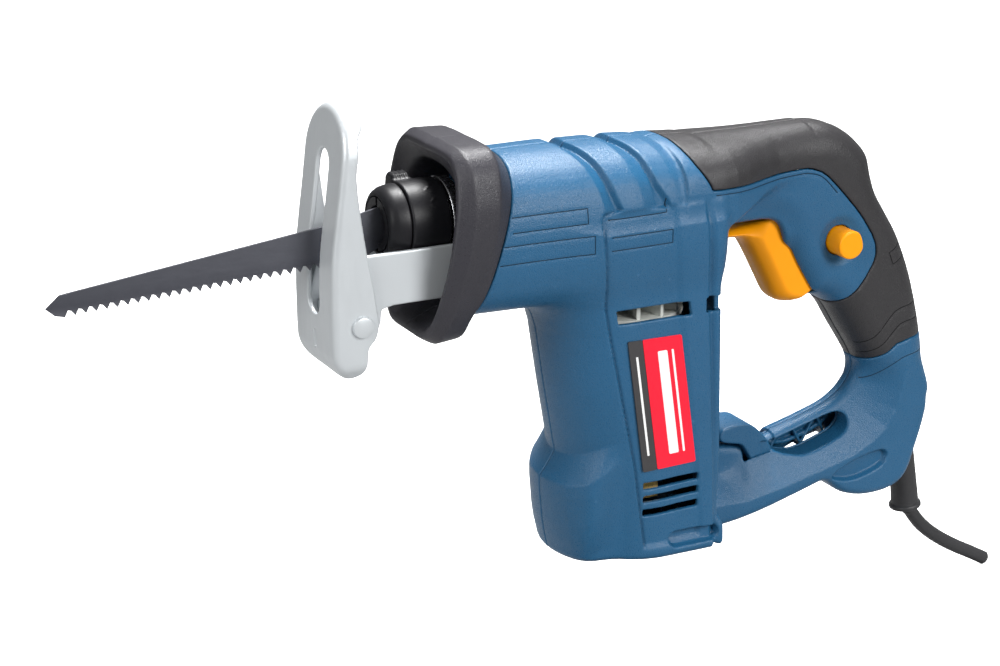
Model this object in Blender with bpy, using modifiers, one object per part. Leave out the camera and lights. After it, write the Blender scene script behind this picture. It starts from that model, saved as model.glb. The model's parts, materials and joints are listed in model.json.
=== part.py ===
"""Compact reciprocating saw: upright motor, D-handle, slotted shoe, keyless blade clamp.

Metres, +Z up. The blade points along -X (front), the handle is at +X (rear). Left is -Y.
x = 0 is the motor axis, y = 0 the parting plane of the two housing shells, z = 0 the flat
foot of the motor housing. All dimensions below are in millimetres.
"""

import math

import bmesh
import bpy
from mathutils import Matrix, Vector

MM = 0.001
NAME = "reciprocating_saw"

# ---- driving dimensions ----
STROKE_Z = 160.8                     # height of the blade and plunger axis
PARTING = 0.15                       # half the gap between the shells
HANDLE_HALF = 17.0                   # half-width of the handle

SHAFT_RADIUS = 3.9                   # armature shaft
SHAFT_FIT = SHAFT_RADIUS + 0.1       # bore of the parts on the armature shaft
FAN_BOTTOM, FAN_TOP = 107.5, 118.5
FAN_BLADES = 14

GEAR_TEETH, PINION_TEETH, MODULE = 56, 8, 0.9
GEAR_X = -MODULE * (GEAR_TEETH + PINION_TEETH) / 2.0
GEAR_BOTTOM, GEAR_TOP = 130.2, 137.0
GEAR_SHAFT_RADIUS = 4.0
CRANK_RADIUS = 10.0                  # half the stroke
CRANK_PIN_RADIUS = 2.5
PLUNGER_RADIUS = 6.0
BUSH_RADIUS = 8.0                    # outside of the plunger bushes

SHOE_PIVOT = (-133.0, 124.4)         # x, z
SHOE_PIN_RADIUS = 2.55
SHOE_PIN_BORE = SHOE_PIN_RADIUS + 0.07
SHOE_HALF = 20.6
SHOE_WALL = 2.2

TRIGGER_MOUTH = (82.5, 120.0)        # middle of the trigger mouth, x and z
TRIGGER_SLIDE = (0.888, 0.460)       # direction the trigger slides in, x and z
BUTTON = (103.3, 128.8)              # lock button axis, x and z
BUTTON_RADIUS = 6.5
HOOK = (69.5, 27.2)                  # hanging hook pin, x and z
HOOK_PIN_RADIUS = 1.5

RELIEF_TOP = (151.6, 33.0)           # strain relief ends, x and z
RELIEF_END = (157.7, -15.5)
CORD_RADIUS = 3.95

SCREWS = [(28.0, 145.8), (28.5, 8.2), (-31.0, 8.5),      # x, z
          (112.0, 160.5), (148.5, 90.0), (134.0, 12.5)]
SCREW_SEAT_Y = 8.0                   # floor of the counterbores

for old in list(bpy.data.objects):
    bpy.data.objects.remove(old, do_unlink=True)
for old in list(bpy.data.meshes):
    bpy.data.meshes.remove(old)

PARTS = bpy.data.collections.new(NAME)
CUTTERS = bpy.data.collections.new(NAME + "_cutters")
bpy.context.scene.collection.children.link(PARTS)
bpy.context.scene.collection.children.link(CUTTERS)
CUTTERS.hide_render = True

# ---- materials ----
LOOKS = {   # base colour, roughness, metallic
    "blue": ((0.035, 0.125, 0.235), 0.45, 0.0),
    "dark": ((0.045, 0.043, 0.047), 0.6, 0.0),
    "yellow": ((1.0, 0.38, 0.0), 0.4, 0.0),
    "silver": ((0.62, 0.66, 0.70), 0.35, 0.9),
    "steel": ((0.46, 0.46, 0.47), 0.3, 1.0),
    "blade": ((0.07, 0.075, 0.09), 0.45, 0.6),
    "black": ((0.02, 0.02, 0.022), 0.45, 0.0),
    "grey": ((0.42, 0.43, 0.40), 0.5, 0.0),
    "alu": ((0.55, 0.56, 0.57), 0.45, 0.9),
    "copper": ((0.72, 0.33, 0.16), 0.35, 1.0),
    "brass": ((0.70, 0.52, 0.22), 0.3, 1.0),
    "carbon": ((0.05, 0.05, 0.05), 0.7, 0.1),
    "red": ((0.80, 0.02, 0.05), 0.35, 0.0),
    "core": ((0.30, 0.30, 0.31), 0.5, 0.9),
    "rubber": ((0.03, 0.03, 0.033), 0.7, 0.0),
}


def material(part_name, look):
    colour, roughness, metallic = LOOKS[look]
    mat = bpy.data.materials.new(part_name + "_mat")
    mat.use_nodes = True
    shader = mat.node_tree.nodes["Principled BSDF"]
    shader.inputs["Base Color"].default_value = (*colour, 1.0)
    shader.inputs["Roughness"].default_value = roughness
    shader.inputs["Metallic"].default_value = metallic
    mat.diffuse_color = (*colour, 1.0)
    return mat


# ---- solids: a solid with a look is a part, one without is a boolean helper ----
def put(name, mesh, look, smooth=False):
    obj = bpy.data.objects.new(name, mesh)
    if not look:
        CUTTERS.objects.link(obj)
        obj.hide_render = True
        obj.display_type = "WIRE"
        return obj
    PARTS.objects.link(obj)
    mesh.materials.append(material(name, look))
    if smooth:
        mesh.shade_smooth()
        mesh.set_sharp_from_angle(angle=math.radians(35))
    return obj


def mesh_in_metres(shape, name):
    """Turns a bmesh drawn in millimetres into a mesh, and frees it."""
    bmesh.ops.recalc_face_normals(shape, faces=shape.faces)
    bmesh.ops.scale(shape, vec=(MM, MM, MM), verts=shape.verts)
    mesh = bpy.data.meshes.new(name)
    shape.to_mesh(mesh)
    shape.free()
    return mesh


def evaluated_mesh(temp):
    """The final mesh of a temporary object, which is removed."""
    bpy.context.view_layer.update()
    graph = bpy.context.evaluated_depsgraph_get()
    mesh = bpy.data.meshes.new_from_object(temp.evaluated_get(graph))
    bpy.data.objects.remove(temp, do_unlink=True)
    return mesh


def box(name, x, y, z, look=None, bevel=0.0):
    """x, y, z are (low, high)."""
    shape = bmesh.new()
    bmesh.ops.create_cube(shape, size=1.0)
    bmesh.ops.scale(shape, vec=(x[1] - x[0], y[1] - y[0], z[1] - z[0]), verts=shape.verts)
    middle = ((x[0] + x[1]) / 2, (y[0] + y[1]) / 2, (z[0] + z[1]) / 2)
    bmesh.ops.translate(shape, vec=middle, verts=shape.verts)
    if bevel:
        bmesh.ops.bevel(shape, geom=shape.edges[:], offset=bevel, segments=1, affect="EDGES",
                        profile=0.5)
    return put(name, mesh_in_metres(shape, name), look)


def rod(name, start, end, radius, end_radius=None, look=None, segments=24):
    """A cylinder or cone from start to end."""
    start, end = Vector(start), Vector(end)
    shape = bmesh.new()
    bmesh.ops.create_cone(shape, cap_ends=True, segments=segments, radius1=radius,
                          radius2=radius if end_radius is None else end_radius,
                          depth=(end - start).length)
    turn = (end - start).to_track_quat("Z", "Y").to_matrix()
    bmesh.ops.rotate(shape, cent=(0, 0, 0), matrix=turn, verts=shape.verts)
    bmesh.ops.translate(shape, vec=(start + end) / 2, verts=shape.verts)
    return put(name, mesh_in_metres(shape, name), look, smooth=bool(look))


def cross_rod(name, place, y, radius, look=None, segments=24):
    """A cylinder across the saw: place is (x, z), y is (low, high)."""
    return rod(name, (place[0], y[0], place[1]), (place[0], y[1], place[1]), radius,
               look=look, segments=segments)


def turned(name, start, axis, profile, look=None, steps=28):
    """Turns a profile of (radius, distance from start) round an axis direction.
    The profile runs from the far end back to start along the outside; it closes on itself."""
    outline = bpy.data.meshes.new(name)
    edges = [(i, i + 1) for i in range(len(profile) - 1)]
    if profile[0][0] > 0:
        edges.append((len(profile) - 1, 0))
    outline.from_pydata([(radius * MM, 0, along * MM) for radius, along in profile], edges, [])
    temp = bpy.data.objects.new(name + "_profile", outline)
    PARTS.objects.link(temp)
    screw = temp.modifiers.new("turn", "SCREW")
    screw.axis = "Z"
    screw.steps = screw.render_steps = steps
    screw.use_merge_vertices = True
    screw.merge_threshold = 0.00001
    mesh = evaluated_mesh(temp)
    bpy.data.meshes.remove(outline)
    mesh.name = name
    shape = bmesh.new()
    shape.from_mesh(mesh)
    bmesh.ops.recalc_face_normals(shape, faces=shape.faces)
    shape.to_mesh(mesh)
    shape.free()
    obj = put(name, mesh, look, smooth=bool(look))
    turn = Vector(axis).to_track_quat("Z", "Y").to_matrix().to_4x4()
    obj.matrix_world = Matrix.Translation(Vector(start) * MM) @ turn
    return obj


def ring(name, start, end, inner, outer, look=None, steps=28):
    """A plain tube from start to end."""
    axis = Vector(end) - Vector(start)
    profile = [(outer, axis.length), (outer, 0), (inner, 0), (inner, axis.length)]
    return turned(name, start, axis, profile, look, steps)


def plate(name, loops, low, high, normal="Y", look=None, bevel=0.0, tidy=True):
    """A flat outline (with holes) given thickness between low and high along its normal.
    normal Y: points are (x, z). normal Z: points are (x, y). normal X: points are (y, z)."""
    curve = bpy.data.curves.new(name, "CURVE")
    curve.dimensions = "2D"
    curve.fill_mode = "BOTH"
    curve.extrude = (high - low) / 2
    curve.resolution_u = 1
    for loop in loops:
        spline = curve.splines.new("POLY")
        spline.points.add(len(loop) - 1)
        for point, flat in zip(spline.points, loop):
            point.co = (flat[0], flat[1], 0, 1)
        spline.use_cyclic_u = True
    temp = bpy.data.objects.new(name + "_outline", curve)
    PARTS.objects.link(temp)
    flat_mesh = evaluated_mesh(temp)
    bpy.data.curves.remove(curve)
    middle = (high + low) / 2 * MM
    axes = {
        "Y": Matrix(((1, 0, 0, 0), (0, 0, 1, middle), (0, 1, 0, 0), (0, 0, 0, 1))),
        "Z": Matrix(((1, 0, 0, 0), (0, 1, 0, 0), (0, 0, 1, middle), (0, 0, 0, 1))),
        "X": Matrix(((0, 0, 1, middle), (1, 0, 0, 0), (0, 1, 0, 0), (0, 0, 0, 1))),
    }[normal]
    shape = bmesh.new()
    shape.from_mesh(flat_mesh)
    bpy.data.meshes.remove(flat_mesh)
    bmesh.ops.remove_doubles(shape, verts=shape.verts, dist=0.005)
    if tidy:
        bmesh.ops.dissolve_limit(shape, angle_limit=0.001, verts=shape.verts, edges=shape.edges)
    bmesh.ops.scale(shape, vec=(MM, MM, MM), verts=shape.verts)
    bmesh.ops.transform(shape, matrix=axes, verts=shape.verts)
    bmesh.ops.recalc_face_normals(shape, faces=shape.faces)
    mesh = bpy.data.meshes.new(name)
    shape.to_mesh(mesh)
    shape.free()
    obj = put(name, mesh, look)
    if bevel:
        mod = obj.modifiers.new("edges", "BEVEL")
        mod.width = bevel * MM
        mod.segments = 1
        mod.limit_method = "ANGLE"
        mod.angle_limit = math.radians(60)
    return obj


def loft(name, rings, look=None):
    """A closed skin through rings that have the same number of points."""
    shape = bmesh.new()
    rows = [[shape.verts.new(point) for point in points] for points in rings]
    count = len(rows[0])
    for low, high in zip(rows, rows[1:]):
        for i in range(count):
            j = (i + 1) % count
            shape.faces.new((low[i], low[j], high[j], high[i]))
    shape.faces.new(rows[0])
    shape.faces.new(rows[-1])
    return put(name, mesh_in_metres(shape, name), look)


def wire(name, points, radius, look, resolution):
    curve = bpy.data.curves.new(name, "CURVE")
    curve.dimensions = "3D"
    curve.bevel_depth = radius * MM
    curve.bevel_resolution = resolution
    curve.use_fill_caps = True
    spline = curve.splines.new("POLY")
    spline.points.add(len(points) - 1)
    for point, place in zip(spline.points, points):
        point.co = (place[0] * MM, place[1] * MM, place[2] * MM, 1)
    curve.materials.append(material(name, look))
    PARTS.objects.link(bpy.data.objects.new(name, curve))


def spring(name, start, end, radius, turns, wire_radius, per_turn=8):
    """A steel coil spring from start to end."""
    start, end = Vector(start), Vector(end)
    turn = (end - start).to_track_quat("Z", "Y").to_matrix()
    length = (end - start).length
    points = []
    for i in range(int(turns * per_turn) + 1):
        angle = 2 * math.pi * i / per_turn
        local = Vector((radius * math.cos(angle), radius * math.sin(angle),
                        length * i / (turns * per_turn)))
        points.append(start + turn @ local)
    wire(name, points, wire_radius, "steel", resolution=0)


# ---- booleans, origins and parents ----
def boolean(obj, operation, *others):
    for other in others:
        mod = obj.modifiers.new(operation.lower() + "_" + other.name, "BOOLEAN")
        mod.operation = operation
        mod.solver = "EXACT"
        mod.object = other


def cut(obj, *others):
    boolean(obj, "DIFFERENCE", *others)


def add(obj, *others):
    boolean(obj, "UNION", *others)


def set_origin(obj, place):
    """Moves the origin of an unmoved object to (x, z) at y = 0; its shape stays in place."""
    point = Vector(on_seam(place)) * MM
    obj.data.transform(Matrix.Translation(-point))
    obj.location = point


def hang_on(name, point, *objs):
    """Parents objects to a new empty at point, without moving them."""
    empty = bpy.data.objects.new(name, None)
    empty.empty_display_size = 0.01
    empty.location = Vector(point) * MM
    PARTS.objects.link(empty)
    bpy.context.view_layer.update()
    for obj in objs:
        world = obj.matrix_world.copy()
        obj.parent = empty
        obj.matrix_parent_inverse = empty.matrix_world.inverted()
        obj.matrix_world = world


# ---- places ----
X_AXIS, Y_AXIS, Z_AXIS = (1, 0, 0), (0, 1, 0), (0, 0, 1)


def on_motor(z):
    return (0, 0, z)


def on_gear(z):
    return (GEAR_X, 0, z)


def on_crank(z):
    return (GEAR_X, CRANK_RADIUS, z)


def on_stroke(x):
    return (x, 0, STROKE_Z)


def on_seam(place):
    return (place[0], 0, place[1])


def both(half):
    return (-half, half)


def grip_point(along, up):
    """A point along the trigger's slide and up the grip, as (x, z)."""
    return (TRIGGER_MOUTH[0] + TRIGGER_SLIDE[0] * along - TRIGGER_SLIDE[1] * up,
            TRIGGER_MOUTH[1] + TRIGGER_SLIDE[1] * along + TRIGGER_SLIDE[0] * up)


def grip_plate(name, points, half, look=None, bevel=0.0):
    """A plate centred on the parting plane, its outline given in grip coordinates."""
    return plate(name, [[grip_point(*point) for point in points]], -half, half, "Y", look, bevel)


# ---- outlines ----
def arc(centre_x, centre_y, radius, first, last, steps):
    angles = [math.radians(first + (last - first) * i / steps) for i in range(steps + 1)]
    return [(centre_x + radius * math.cos(angle), centre_y + radius * math.sin(angle))
            for angle in angles]


def slot_outline(start, end, radius, steps=6):
    """A round-ended slot between two centres."""
    angle = math.degrees(math.atan2(end[1] - start[1], end[0] - start[0]))
    return (arc(*end, radius, angle - 90, angle + 90, steps)
            + arc(*start, radius, angle + 90, angle + 270, steps))


def grown(loop, distance):
    """The outline moved outwards by distance; it runs either way round."""
    area = sum(here[0] * after[1] - after[0] * here[1]
               for here, after in zip(loop, loop[1:] + loop[:1]))
    sign = 1 if area > 0 else -1
    moved = []
    for i, point in enumerate(loop):
        here = Vector(point)
        edge_in = (here - Vector(loop[i - 1])).normalized()
        edge_out = (Vector(loop[(i + 1) % len(loop)]) - here).normalized()
        normal_in = Vector((edge_in.y, -edge_in.x)) * sign
        normal_out = Vector((edge_out.y, -edge_out.x)) * sign
        mitre = (normal_in + normal_out).normalized()
        # the lower limit keeps sharp corners from running far out
        moved.append(tuple(here + mitre * distance / max(0.4, mitre.dot(normal_in))))
    return moved


def channel(path, half):
    """The outline of a strip along a path."""
    left, right = [], []
    for i, point in enumerate(path):
        before, after = Vector(path[max(0, i - 1)]), Vector(path[min(len(path) - 1, i + 1)])
        way = (after - before).normalized()
        left.append((point[0] - way.y * half, point[1] + way.x * half))
        right.append((point[0] + way.y * half, point[1] - way.x * half))
    return left + right[::-1]


# ---- cross-sections ----
# Half outlines from top centre to bottom centre: share of the half-width, share of the height
SHIELD = [(0, 1), (0.34, 0.985), (0.64, 0.925), (0.86, 0.82), (0.97, 0.67), (1.0, 0.5),
          (0.975, 0.32), (0.88, 0.165), (0.68, 0.055), (0.36, 0.005), (0, 0)]
RIM = [(0, 1), (0.34, 1.0), (0.66, 0.985), (0.87, 0.91), (0.97, 0.785), (1.0, 0.67),
       (0.985, 0.48), (0.895, 0.30), (0.74, 0.12), (0.5, 0.01), (0, 0)]
SEAM_TOP, SEAM_LOW = (-64.0, 187.0), (-84.0, 125.0)     # sloping front of the barrel, x and z


def seam_x(z, offset=0.0):
    slope = (SEAM_TOP[0] - SEAM_LOW[0]) / (SEAM_TOP[1] - SEAM_LOW[1])
    return SEAM_TOP[0] + slope * (z - SEAM_TOP[1]) + offset


def shield_ring(x_at, half, low, high):
    """A shield-shaped ring across the stroke axis; x_at(z) is its place along it."""
    right = [(across * half, low + up * (high - low)) for across, up in SHIELD]
    points = right + [(-y, z) for y, z in reversed(right[1:-1])]
    return [(x_at(z), y, z) for y, z in points]


def shield_rings(stations):
    """Upright rings; stations are (x, half-width, low z, high z)."""
    return [shield_ring(lambda z, x=x: x, half, low, high) for x, half, low, high in stations]


def shield_bar(name, ends, half, low, high):
    return loft(name, shield_rings([(x, half, low, high) for x in ends]))


def motor_ring(z, front, half, rear, corner):
    """A ring across the motor axis: half-round front, flat sides and back."""
    centre = front + half
    side = [(centre - half * math.cos(math.radians(angle)), half * math.sin(math.radians(angle)))
            for angle in range(0, 91, 15)]
    side += [(rear - corner, half), (rear - 0.3 * corner, half - 0.3 * corner),
             (rear, half - corner), (rear, 0)]
    points = side + [(x, -y) for x, y in reversed(side[1:-1])]
    return [(x, y, z) for x, y in points]


# ---- outside of the housing ----
# x, half-width, low z, high z
BARREL_STATIONS = [(-40, 35.0, 120.5, 187.0), (-12, 35.6, 120.0, 187.2),
                   (18, 34.0, 119.6, 186.0), (33.6, 32.8, 119.6, 184.2)]
NECK_STATIONS = [(16, 31.8, 143.4, 182.4), (34, 31.6, 143.6, 182.6), (47, 27.5, 144.0, 182.8),
                 (60, 21.5, 144.6, 182.8), (76, 16.0, 150.0, 182.0)]
CORE_NECK_STATIONS = [(0, 29.4, 143.4, 180.0), (34, 29.2, 143.6, 180.1),
                      (47, 25.1, 144.0, 180.3), (60, 19.1, 144.6, 180.3),
                      (77, 13.5, 150.0, 179.5)]
# z, front x, half-width, rear x, rear corner
MOTOR_STATIONS = [
    (0.0, -26, 24.0, 31.0, 5), (4, -35, 30.0, 33.4, 5), (12, -38.5, 32.6, 34.2, 5),
    (36, -41, 33.4, 34.2, 5), (46.5, -32.8, 33.0, 34.1, 5), (79, -38.2, 33.1, 34.0, 5),
    (105, -42, 33.3, 33.9, 5), (119, -46, 33.3, 33.8, 5), (128, -53, 32.6, 33.4, 5),
    (140, -55, 31.0, 33.0, 5)]
# x, z
HANDLE_OUTER = [
    (6, 182.8), (60, 182.9), (90, 182.3), (98, 181.2), (106, 178.2), (114, 172.6),
    (123.4, 163.8), (124.6, 156.0), (128.0, 147.4), (134.0, 137.2), (141.8, 126.4),
    (149.4, 107.9), (154.4, 88.6), (158.6, 71.6), (160.3, 62.9), (163.9, 40.5), (161.2, 32.0),
    (157.0, 22.0), (151.5, 8.0), (146.3, 3.6), (137, 1.6), (128.3, 1.2), (119.0, 1.6),
    (108.5, 5.2), (100.5, 10.0), (91.7, 7.6), (67.2, 2.4), (52, 0.6), (28, 0.6), (20, 4.0),
    (6, 60)]
HAND_WINDOW = [
    (34.5, 37.5), (50, 35.4), (62, 33.6), (73.5, 32.6), (78.7, 34.4), (97.6, 41.2),
    (113, 46.3), (118.5, 50.0), (121.3, 55.0), (121.7, 61), (117.5, 71.2), (111, 82),
    (103.9, 95), (98.3, 100.5), (90.5, 103.2), (87.5, 108), (81.5, 118), (75.6, 127),
    (70.5, 139.5), (65, 142.5), (50, 142.6), (38, 142.5), (35.3, 140.5), (34.5, 137)]
STRUT_SLOT = slot_outline((85.5, 31.6), (111.5, 38.0), 5.4, 5)


def handle(name, half=HANDLE_HALF, look=None, bevel=4.0):
    outline = [HANDLE_OUTER, HAND_WINDOW, STRUT_SLOT]
    return plate(name, outline, -half, half, "Y", look, bevel)


motor_solid = loft("motor_solid", [motor_ring(*station) for station in MOTOR_STATIONS])
neck_solid = loft("neck_solid", shield_rings(NECK_STATIONS))
handle_solid = handle("handle_solid")
# reaches forward out of the barrel, inside the nose guard
spigot_solid = shield_bar("spigot_solid", (-86.5, -56.0), 30.2, 123.6, 183.4)

# ---- hollow spaces in the housing ----
CORD_PATH = [grip_point(28, -15.2), grip_point(30, -24), (127.0, 86.0), (136.5, 66.0),
             (146.5, 46.0), RELIEF_TOP]
RELIEF_RUN = Vector(RELIEF_END) - Vector(RELIEF_TOP)


def relief_point(share):
    """A point on the strain relief's axis: 0 at its top, 1 at its end."""
    return on_seam(Vector(RELIEF_TOP) + share * RELIEF_RUN)


rooms = [
    shield_bar("gear_room", (-57.0, 21.8), 32.4, 122.6, 183.4),
    rod("gear_pocket", on_gear(129.8), on_gear(138.0), 26.9, segments=32),
    rod("plunger_room", on_stroke(15), on_stroke(30.6), 7.6, segments=16),
    shield_bar("front_room", (-99.0, -50.0), 27.4, 126.4, 180.6),
    turned("motor_room", on_motor(0), Z_AXIS, [
        (0, 126), (15, 126), (15, 122.6), (29.6, 122.6), (29.6, 15), (26, 12), (26, 4.2),
        (0, 4.2)], steps=24),
    grip_plate("trigger_room", [
        (-9, -19.0), (16.8, -19.0), (16.8, 22.6), (7, 23.9), (-2, 26.6), (-11, 29.7),
        (-18, 32.2), (-30, 33.6), (-30, 18), (-9, 14)], 11.4),
    grip_plate("switch_room", [(14, -16.6), (39.6, -16.6), (39.6, 18.6), (14, 18.6)], 9.1),
    cross_rod("button_room", BUTTON, (-13.2, -8.4), 8.6),
    cross_rod("button_hole", BUTTON, (-20, -12), BUTTON_RADIUS + 0.3),
    plate("cord_room", [channel(CORD_PATH, 4.9)], -4.9, 4.9),
    rod("relief_room", relief_point(-0.08), relief_point(1.1), 5.9, 7.3),
    cross_rod("hook_room", HOOK, both(10.3), 8.4),
    plate("hook_mouth", [[(60.5, 27), (77.5, 27), (77.5, 45), (60.5, 45)]], -10.25, 10.25),
    cross_rod("hook_pin_hole", HOOK, both(14.3), HOOK_PIN_RADIUS + 0.1, segments=16),
    box("cord_clamp_room", (138.6, 153.4), both(9.5), (47.7, 53.4)),
    box("fan_slot", (-17, 15.5), both(40), (110.9, 117.0)),
    box("rear_slot", (24, 40), both(40), (111.5, 117.6)),
]
for i, low in enumerate((20.6, 27.0, 33.2), 1):
    rooms.append(box("vent_slot_%d" % i, (-4.5, 21.5), both(40), (low, low + 3.2)))

# clearance holes with a counterbore towards +Y
SCREW_ROOM_Y = -12.4
screw_rooms = []
for i, place in enumerate(SCREWS, 1):
    seat = SCREW_SEAT_Y - SCREW_ROOM_Y
    screw_rooms.append(turned(
        "screw_room_%d" % i, (place[0], SCREW_ROOM_Y, place[1]), Y_AXIS,
        [(0, 60), (4.1, 60), (4.1, seat), (2.15, seat), (2.15, 0), (0, 0)], steps=12))

# ---- soft overmould: top of the handle and back of the grip ----
OVERMOULD_FIT = 0.3       # clearance between the shells and the overmould
# x, z
ZONE = [
    (16.2, 190), (19, 178), (27, 167.0), (34.4, 162.6), (60, 163.6), (82, 164.8), (92, 163.4),
    (104, 153), (113.5, 142), (121.5, 128), (120.6, 115), (113, 104.6), (105.4, 99.2),
    (96, 95), (108, 70), (112, 65), (120.5, 63.5), (132, 67), (141.5, 76.3), (166, 77.0),
    (172, 130), (130, 192)]
CORE_OUTLINE = [
    (-5, 180.2), (60, 180.2), (89, 179.8), (97, 178.6), (104.4, 175.9), (112, 170.7),
    (120.8, 162.6), (121.8, 155.6), (125.5, 146.2), (131.6, 136.0), (139.4, 125.2),
    (146.9, 107.2), (151.9, 88.0), (155.2, 74.0), (150, 60), (128, 60), (119.4, 73.6),
    (113.1, 83.4), (106.2, 96.2), (100.2, 102.6), (92.4, 105.2), (90, 109.4), (84.5, 120),
    (72.5, 141), (20, 141)]
zone_shell = plate("overmould_zone_shell", [grown(ZONE, OVERMOULD_FIT)], -40, 40)
zone_grip = plate("overmould_zone", [ZONE], -39, 39)


def handle_core(name, extra):
    """The slimmer shell body under the soft overmould; extra grows it."""
    core = handle(name, HANDLE_HALF - 2.6 + extra, bevel=2.5)
    neck = loft(name + "_neck", shield_rings([
        (x, half + extra, low - extra, high + extra)
        for x, half, low, high in CORE_NECK_STATIONS]))
    add(core, neck)
    outline = plate(name + "_outline", [grown(CORE_OUTLINE, extra)], -40, 40)
    boolean(core, "INTERSECT", outline)
    return core


core_shell = handle_core("core_shell", 0.0)
core_grip = handle_core("core_grip", OVERMOULD_FIT)

# ---- housing shells and overmould halves ----
# tongue on the foot of the left shell, and its room in the right one
tongue = box("foot_tongue", both(9), (-3, 5.0), (0.0, 3.0))
tongue_room = box("foot_tongue_room", both(9.3), (-3, 5.3), (-1.0, 3.3))


def housing_shell(side, other_half):
    rings = [shield_ring(seam_x, 33.8, 121.8, 186.9)] + shield_rings(BARREL_STATIONS)
    shell = loft("housing_" + side, rings, "blue")
    add(shell, motor_solid, neck_solid, handle_solid, spigot_solid)
    # recess under the overmould: take the zone away, then put the slimmer core back
    cut(shell, zone_shell)
    add(shell, core_shell)
    cut(shell, *rooms, *screw_rooms, other_half)
    if side == "left":
        add(shell, tongue)
    else:
        cut(shell, tongue_room)
    # the manifold solver is used for this long chain of closed solids
    for mod in shell.modifiers:
        mod.solver = "MANIFOLD"


def overmould(side, other_half):
    grip = handle("grip_" + side, look="dark")
    add(grip, neck_solid)
    boolean(grip, "INTERSECT", zone_grip)
    cut(grip, core_grip, screw_rooms[3], screw_rooms[4], other_half)


# the y range that each side gives up
for side, span in (("left", (-PARTING, 70.0)), ("right", (-70.0, PARTING))):
    other_half = box("other_half_" + side, (-211, 263), span, (-101, 262))
    housing_shell(side, other_half)
    overmould(side, other_half)


# ---- nose guard, one half on each shell ----
def rim_x(y, z):
    bow = 7.5 * (y / 38.0) ** 2 * (1 - abs(z - 160.0) / 70.0)
    return -93.0 - (195.0 - z) * 11.0 / 83.0 + bow


def crease_x(y, z):
    return -73.6 - 0.26 * (195.0 - z)


def guard_seam_x(y, z):
    return seam_x(z, -0.3)


def guard_section(shield_share, rim_share, sign):
    """The closed wall section of the guard at one place round the opening."""
    def point(share, half, low, high, x_at):
        y = max(share[0] * half, PARTING)
        z = low + share[1] * (high - low)
        return (x_at(y, z), sign * y, z)
    return [
        point(shield_share, 34.0, 121.6, 187.0, guard_seam_x),
        point(rim_share, 36.9, 114.6, 194.6, crease_x),
        point(rim_share, 38.2, 112.0, 195.0, rim_x),
        point(rim_share, 31.7, 119.3, 189.3, rim_x),
        point(shield_share, 30.5, 123.3, 183.7, lambda y, z: -90.0),
        point(shield_share, 30.5, 123.3, 183.7, guard_seam_x)]


for side, sign in (("left", -1), ("right", 1)):
    sections = [guard_section(shield, rim, sign) for shield, rim in zip(SHIELD, RIM)]
    loft("nose_guard_" + side, sections, "dark")

# ---- motor ----
ring("stator", on_motor(38), on_motor(92), 17.2, 27.0, "core")
ring("lower_bearing", on_motor(15.8), on_motor(22.2), 3.08, 9.4, "steel", 24)
ring("upper_bearing", on_motor(119.6), on_motor(125.4), SHAFT_RADIUS + 0.08, 10.9, "steel", 24)
shaft = turned("armature_shaft", on_motor(15.5), Z_AXIS, [
    (0, 122), (2.4, 122), (2.4, 112), (SHAFT_RADIUS, 112), (SHAFT_RADIUS, 8), (3.0, 8),
    (3.0, 0), (0, 0)], "steel", 24)
armature = ring("armature_core", on_motor(42), on_motor(88), SHAFT_FIT, 16.6, "copper", 30)
commutator = ring("commutator", on_motor(24.5), on_motor(38.5), SHAFT_FIT, 10.5, "brass", 24)


def cooling_fan():
    """A disc with a hub and radial blades on top."""
    fan = ring("cooling_fan", on_motor(FAN_BOTTOM), on_motor(FAN_BOTTOM + 2.4), SHAFT_FIT, 27.0,
               "grey", 32)
    add(fan, ring("fan_hub", on_motor(FAN_BOTTOM + 0.4), on_motor(FAN_TOP), SHAFT_FIT, 8.0,
                  steps=24))
    for i in range(FAN_BLADES):
        fan_blade = box("fan_blade_%d" % i, (7.4, 26.2), both(0.8), (FAN_BOTTOM + 1.2, FAN_TOP))
        fan_blade.rotation_euler = (0, 0, 2 * math.pi * i / FAN_BLADES)
        add(fan, fan_blade)
    return fan


for side, sign in (("left", -1), ("right", 1)):
    holder = box("brush_holder_" + side, both(4.6), sorted((sign * 11.2, sign * 26.0)),
                 (26.9, 36.1), "brass")
    cut(holder, box("brush_tube_" + side, both(3.5), sorted((sign * 9.0, sign * 24.8)),
                    (28.0, 35.0)))
    box("carbon_brush_" + side, both(3.2), sorted((sign * 10.8, sign * 22.0)), (28.3, 34.7),
        "carbon")


# ---- gears and crank ----
def gear_outline(teeth, bore):
    """A simple spur outline: straight-flanked teeth round the pitch circle, and a bore."""
    pitch_radius = MODULE * teeth / 2
    tip, root = pitch_radius + 0.8 * MODULE, pitch_radius - 1.05 * MODULE
    points = []
    for i in range(teeth):
        # radius, and the angle from mid-tooth as a share of the tooth pitch
        for radius, share in ((root, -0.31), (tip, -0.07), (tip, 0.07), (root, 0.31)):
            angle = math.radians(360.0 * (i + share) / teeth)
            points.append((radius * math.cos(angle), radius * math.sin(angle)))
    return [points, arc(0, 0, bore, 0, 345, 23)]


pinion = plate("pinion", gear_outline(PINION_TEETH, 2.45), GEAR_BOTTOM - 1.0, GEAR_TOP + 0.3,
               "Z", "steel")
# half a tooth round, so that a tooth space of the pinion meets a tooth of the gear
pinion.rotation_euler = (0, 0, math.pi / PINION_TEETH)
hang_on("armature_axis", (0, 0, 0), shaft, armature, commutator, cooling_fan(), pinion)

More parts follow.
